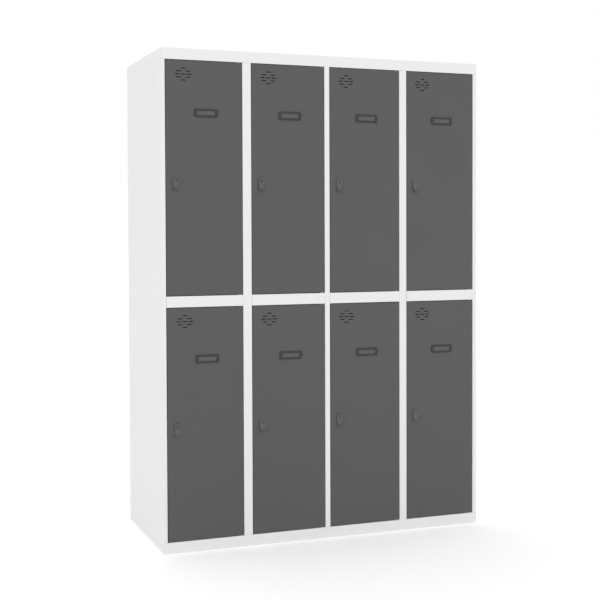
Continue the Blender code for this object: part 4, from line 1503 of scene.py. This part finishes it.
@dataclass
class Fittings(BayPart):
    """A bay's upper pivot pin, coat rail with its screws, and rubber buffers."""

    carcase: Carcase
    pin_radius: float = 0.0025
    pin_bevel: float = 0.0005
    pin_drop: float = 0.009
    head_radius: float = 0.00397
    head_height: float = 0.002
    rail_drop: float = 0.060
    rail_setback: float = 0.265
    rail_radius: float = 0.008
    rail_wall: float = 0.0012
    flange_radius: float = 0.017
    flange_sheet: float = 0.002
    flange_bevel: float = 0.0005
    fillet_steps: int = 4
    screw_place: float = 0.0125
    screw_head: PanHead = PanHead(0.003, 0.0018)
    buffer_radius: float = 0.004
    buffer_height: float = 0.0017
    buffer_edge_share: float = 0.4
    buffer_inset: float = 0.005
    buffer_from_end: float = 0.070
    steps: int = 32

    def build(self) -> None:
        """Adds the fittings of the bay."""
        body = self.layout.carcase
        self.add("pivot_pin", self.pivot_pin(), BRIGHT_ZINC, body, "hinge_pin")
        self.add("hanging_rail", self.rail(), BRIGHT_ZINC, body, "coat_rail")
        self.add("rail_screws", self.rail_screws(), BRIGHT_ZINC, body)
        self.add("door_buffers", self.buffers(), RUBBER, body)

    def pivot_pin(self) -> Skin:
        """The upper pivot pin: a domed head on the rail's lip and a chamfered shank.

        Returns:
            The pin's closed skin.
        """
        low, radius, bevel = self.carcase.sheet + self.carcase.seam, self.pin_radius, self.pin_bevel
        profile = [(radius - bevel, -self.pin_drop), (radius, bevel - self.pin_drop), (radius, low)]
        profile.append((self.head_radius, low))
        profile += dome((self.head_radius, low + self.head_height / 2), low + self.head_height)
        return lathed(profile, self.steps, (*self.bay.pivot, self.bay.high[1]))

    def rail_place(self) -> tuple[Span, float, float]:
        """Where the bay's coat rail lies, under the shelf or the roof.

        Returns:
            Its left and right end, its depth and its height.
        """
        under = self.layout.column(self.bay.number)[1].low[1] - self.carcase.sheet
        if self.bay.tier == "upper":
            under = self.carcase.ceiling
        ends = self.carcase.sides(self.bay.number)
        return ends, self.layout.front + self.rail_setback, under - self.rail_drop

    def rail(self) -> Skin:
        """The coat rail: a tube with a flange at each end, as a section turned about X.

        Returns:
            The closed skin of the tube with both flanges.
        """
        (left, right), y, z = self.rail_place()
        sheet, rim, tube, bevel = self.flange_sheet, self.flange_radius, self.rail_radius, self.flange_bevel
        half = [(0.0, tube - self.rail_wall), (0.0, rim), (sheet - bevel, rim), (sheet, rim - bevel)]
        fillet = quarter_round((tube + sheet, sheet), (tube, 2 * sheet), self.fillet_steps)
        half += [(along, radius) for radius, along in fillet]
        section = [(left + along, radius) for along, radius in half]
        section += [(right - along, radius) for along, radius in half[::-1]]
        rings = []
        for x, radius in section:
            ring = circle(radius, self.steps) + (y, z)
            rings.append(np.column_stack([np.full(self.steps, x), ring]))
        return loft(rings, closed=True)

    def rail_screws(self) -> Skin:
        """The four screws that hold a coat rail's flanges.

        Returns:
            The closed skins of the four heads, as one.
        """
        (left, right), y, z = self.rail_place()
        head, screws = self.screw_head.skin(front=True), []
        for x, sign in ((left + self.flange_sheet, 1), (right - self.flange_sheet, -1)):
            turned = Skin(head.points[:, [1, 0, 2]] * (-sign, sign, 1), head.faces)
            screws += [turned.moved((x, y + offset, z)) for offset in (-self.screw_place, self.screw_place)]
        return Skin.joined(screws)

    def buffers(self) -> Skin:
        """The two rubber buffers on the strip that the door closes against.

        Returns:
            The closed skins of both buffers, as one.
        """
        (left, bottom), inset = self.bay.low, self.buffer_from_end
        edge = (self.buffer_radius, self.buffer_height * self.buffer_edge_share)
        profile = [(self.buffer_radius, 0.0), *dome(edge, self.buffer_height)]
        flipped = [(radius, -proud) for radius, proud in profile]
        middles = [
            (left + self.buffer_inset, self.carcase.stop, z)
            for z in (bottom + inset, self.bay.high[1] - inset)
        ]
        return Skin.joined([lathed(flipped, self.steps, middle, facing_front) for middle in middles])


# Camera, floor and light


@dataclass(frozen=True)
class Lamp:
    """A large square lamp: its place, the length of its sides and its power in watts."""

    name: str
    place: Place
    size: float
    power: float

    def add(self, aim: Place) -> None:
        """Adds the lamp.

        Args:
            aim: The point that it is turned towards.
        """
        lamp = bpy.data.lights.new(self.name, "AREA")
        lamp.shape, lamp.size, lamp.energy = "SQUARE", self.size, self.power
        holder = placed(self.name, lamp)
        holder.location = self.place
        beam = Vector(aim) - Vector(self.place)
        holder.rotation_euler = beam.to_track_quat("-Z", "Y").to_euler()
        holder.visible_camera = False


@dataclass(frozen=True)
class Studio:
    """A pale floor, soft light and the photograph's point of view."""

    stand: Place = (-1.6347, -4.2826, 1.1494)
    yaw_deg: float = 20.8035
    pitch_deg: float = -1.6034
    roll_deg: float = -0.2005
    lens_mm: float = 69.7372
    sensor_mm: float = 36.0
    shift_up: float = -0.06
    floor_colour: str = "#f4f4f4"
    floor_glow: float = 0.24
    floor_reach: float = 60.0
    world_colour: str = "#ffffff"
    world_strength: float = 0.92
    lamps: tuple[Lamp, ...] = (
        Lamp("key_lamp", (-4.0, -4.9, 1.7), 3.5, 38.0),
        Lamp("fill_lamp", (3.2, -5.0, 0.6), 3.0, 17.0),
    )
    aim: Place = (0.0, 0.0, 0.7)

    def build(self) -> None:
        """Adds the camera, the floor, the world and the lamps."""
        self.add_camera()
        self.add_floor()
        self.light_world()
        for lamp in self.lamps:
            lamp.add(self.aim)
        bpy.context.scene.view_settings.view_transform = "Standard"

    def add_camera(self) -> None:
        """Adds the camera, turned by yaw from +Y to +X, by pitch upwards and by roll."""
        lens = bpy.data.cameras.new("camera")
        lens.lens, lens.sensor_width, lens.shift_y = self.lens_mm, self.sensor_mm, self.shift_up
        camera = placed("camera", lens)
        yaw, pitch, roll = (math.radians(angle) for angle in (self.yaw_deg, self.pitch_deg, self.roll_deg))
        level = math.cos(pitch)
        forward = np.array([math.sin(yaw) * level, math.cos(yaw) * level, math.sin(pitch)])
        right = unit(np.cross(forward, (0, 0, 1)))
        up = np.cross(right, forward)
        turned_right = right * math.cos(roll) + up * math.sin(roll)
        turned_up = up * math.cos(roll) - right * math.sin(roll)
        turn = Matrix([turned_right.tolist(), turned_up.tolist(), (-forward).tolist()]).transposed()
        camera.matrix_world = Matrix.Translation(self.stand) @ turn.to_4x4()
        bpy.context.scene.camera = camera

    def add_floor(self) -> None:
        """Adds the floor, which the camera sees a little paler than it lights the locker."""
        reach = self.floor_reach
        mesh = bpy.data.meshes.new("floor")
        corners = [(-reach, -reach, 0), (reach, -reach, 0), (reach, reach, 0), (-reach, reach, 0)]
        mesh.from_pydata(corners, [], [(0, 1, 2, 3)])
        material = bpy.data.materials.new("pale_studio_floor")
        material.use_nodes = True
        tree = material.node_tree
        glow = add_node(tree, "ShaderNodeMapRange", {"Value": self.seen(tree), "To Max": self.floor_glow})
        surface = {
            "Roughness": 1.0,
            "Specular IOR Level": 0.0,
            "Base Color": linear(self.floor_colour),
            "Emission Color": linear(self.world_colour),
            "Emission Strength": glow.outputs["Result"],
        }
        feed(tree, tree.nodes["Principled BSDF"], surface)
        mesh.materials.append(material)
        floor = placed("floor", mesh)

    @staticmethod
    def seen(tree: bpy.types.NodeTree) -> bpy.types.NodeSocket:
        """One where the camera sees a surface straight or through gloss or glass, else zero.

        Args:
            tree: The node tree to add the nodes to.

        Returns:
            The socket that gives the value.
        """
        path = add_node(tree, "ShaderNodeLightPath", {})
        seen = path.outputs["Is Camera Ray"]
        for ray in ("Is Glossy Ray", "Is Transmission Ray"):
            inputs = {0: seen, 1: path.outputs[ray]}
            seen = add_node(tree, "ShaderNodeMath", inputs, operation="MAXIMUM").outputs[0]
        return seen

    def light_world(self) -> None:
        """Lights the scene evenly from all round, and shows the camera plain white."""
        world = bpy.data.worlds.new("studio")
        world.use_nodes = True
        tree = world.node_tree
        levels = {"Value": self.seen(tree), "To Min": self.world_strength, "To Max": 1.0}
        strength = add_node(tree, "ShaderNodeMapRange", levels).outputs["Result"]
        feed(tree, tree.nodes["Background"], {"Color": linear(self.world_colour), "Strength": strength})
        bpy.context.scene.world = world


def main() -> None:
    """Builds the locker's looks round the frame, then the studio."""
    logging.basicConfig(level=logging.INFO, format="%(message)s")
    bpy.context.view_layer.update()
    layout = Layout.from_frame()
    carcase = Carcase(layout)
    carcase.build()
    for bay in layout.bays:
        door = Door(layout, bay)
        door.build()
        LabelHolder(layout, bay, door).build()
        Lock(layout, bay).build()
    for bay in layout.bays:
        Fittings(layout, bay, carcase).build()
    Studio().build()


if __name__ == "__main__":
    main()
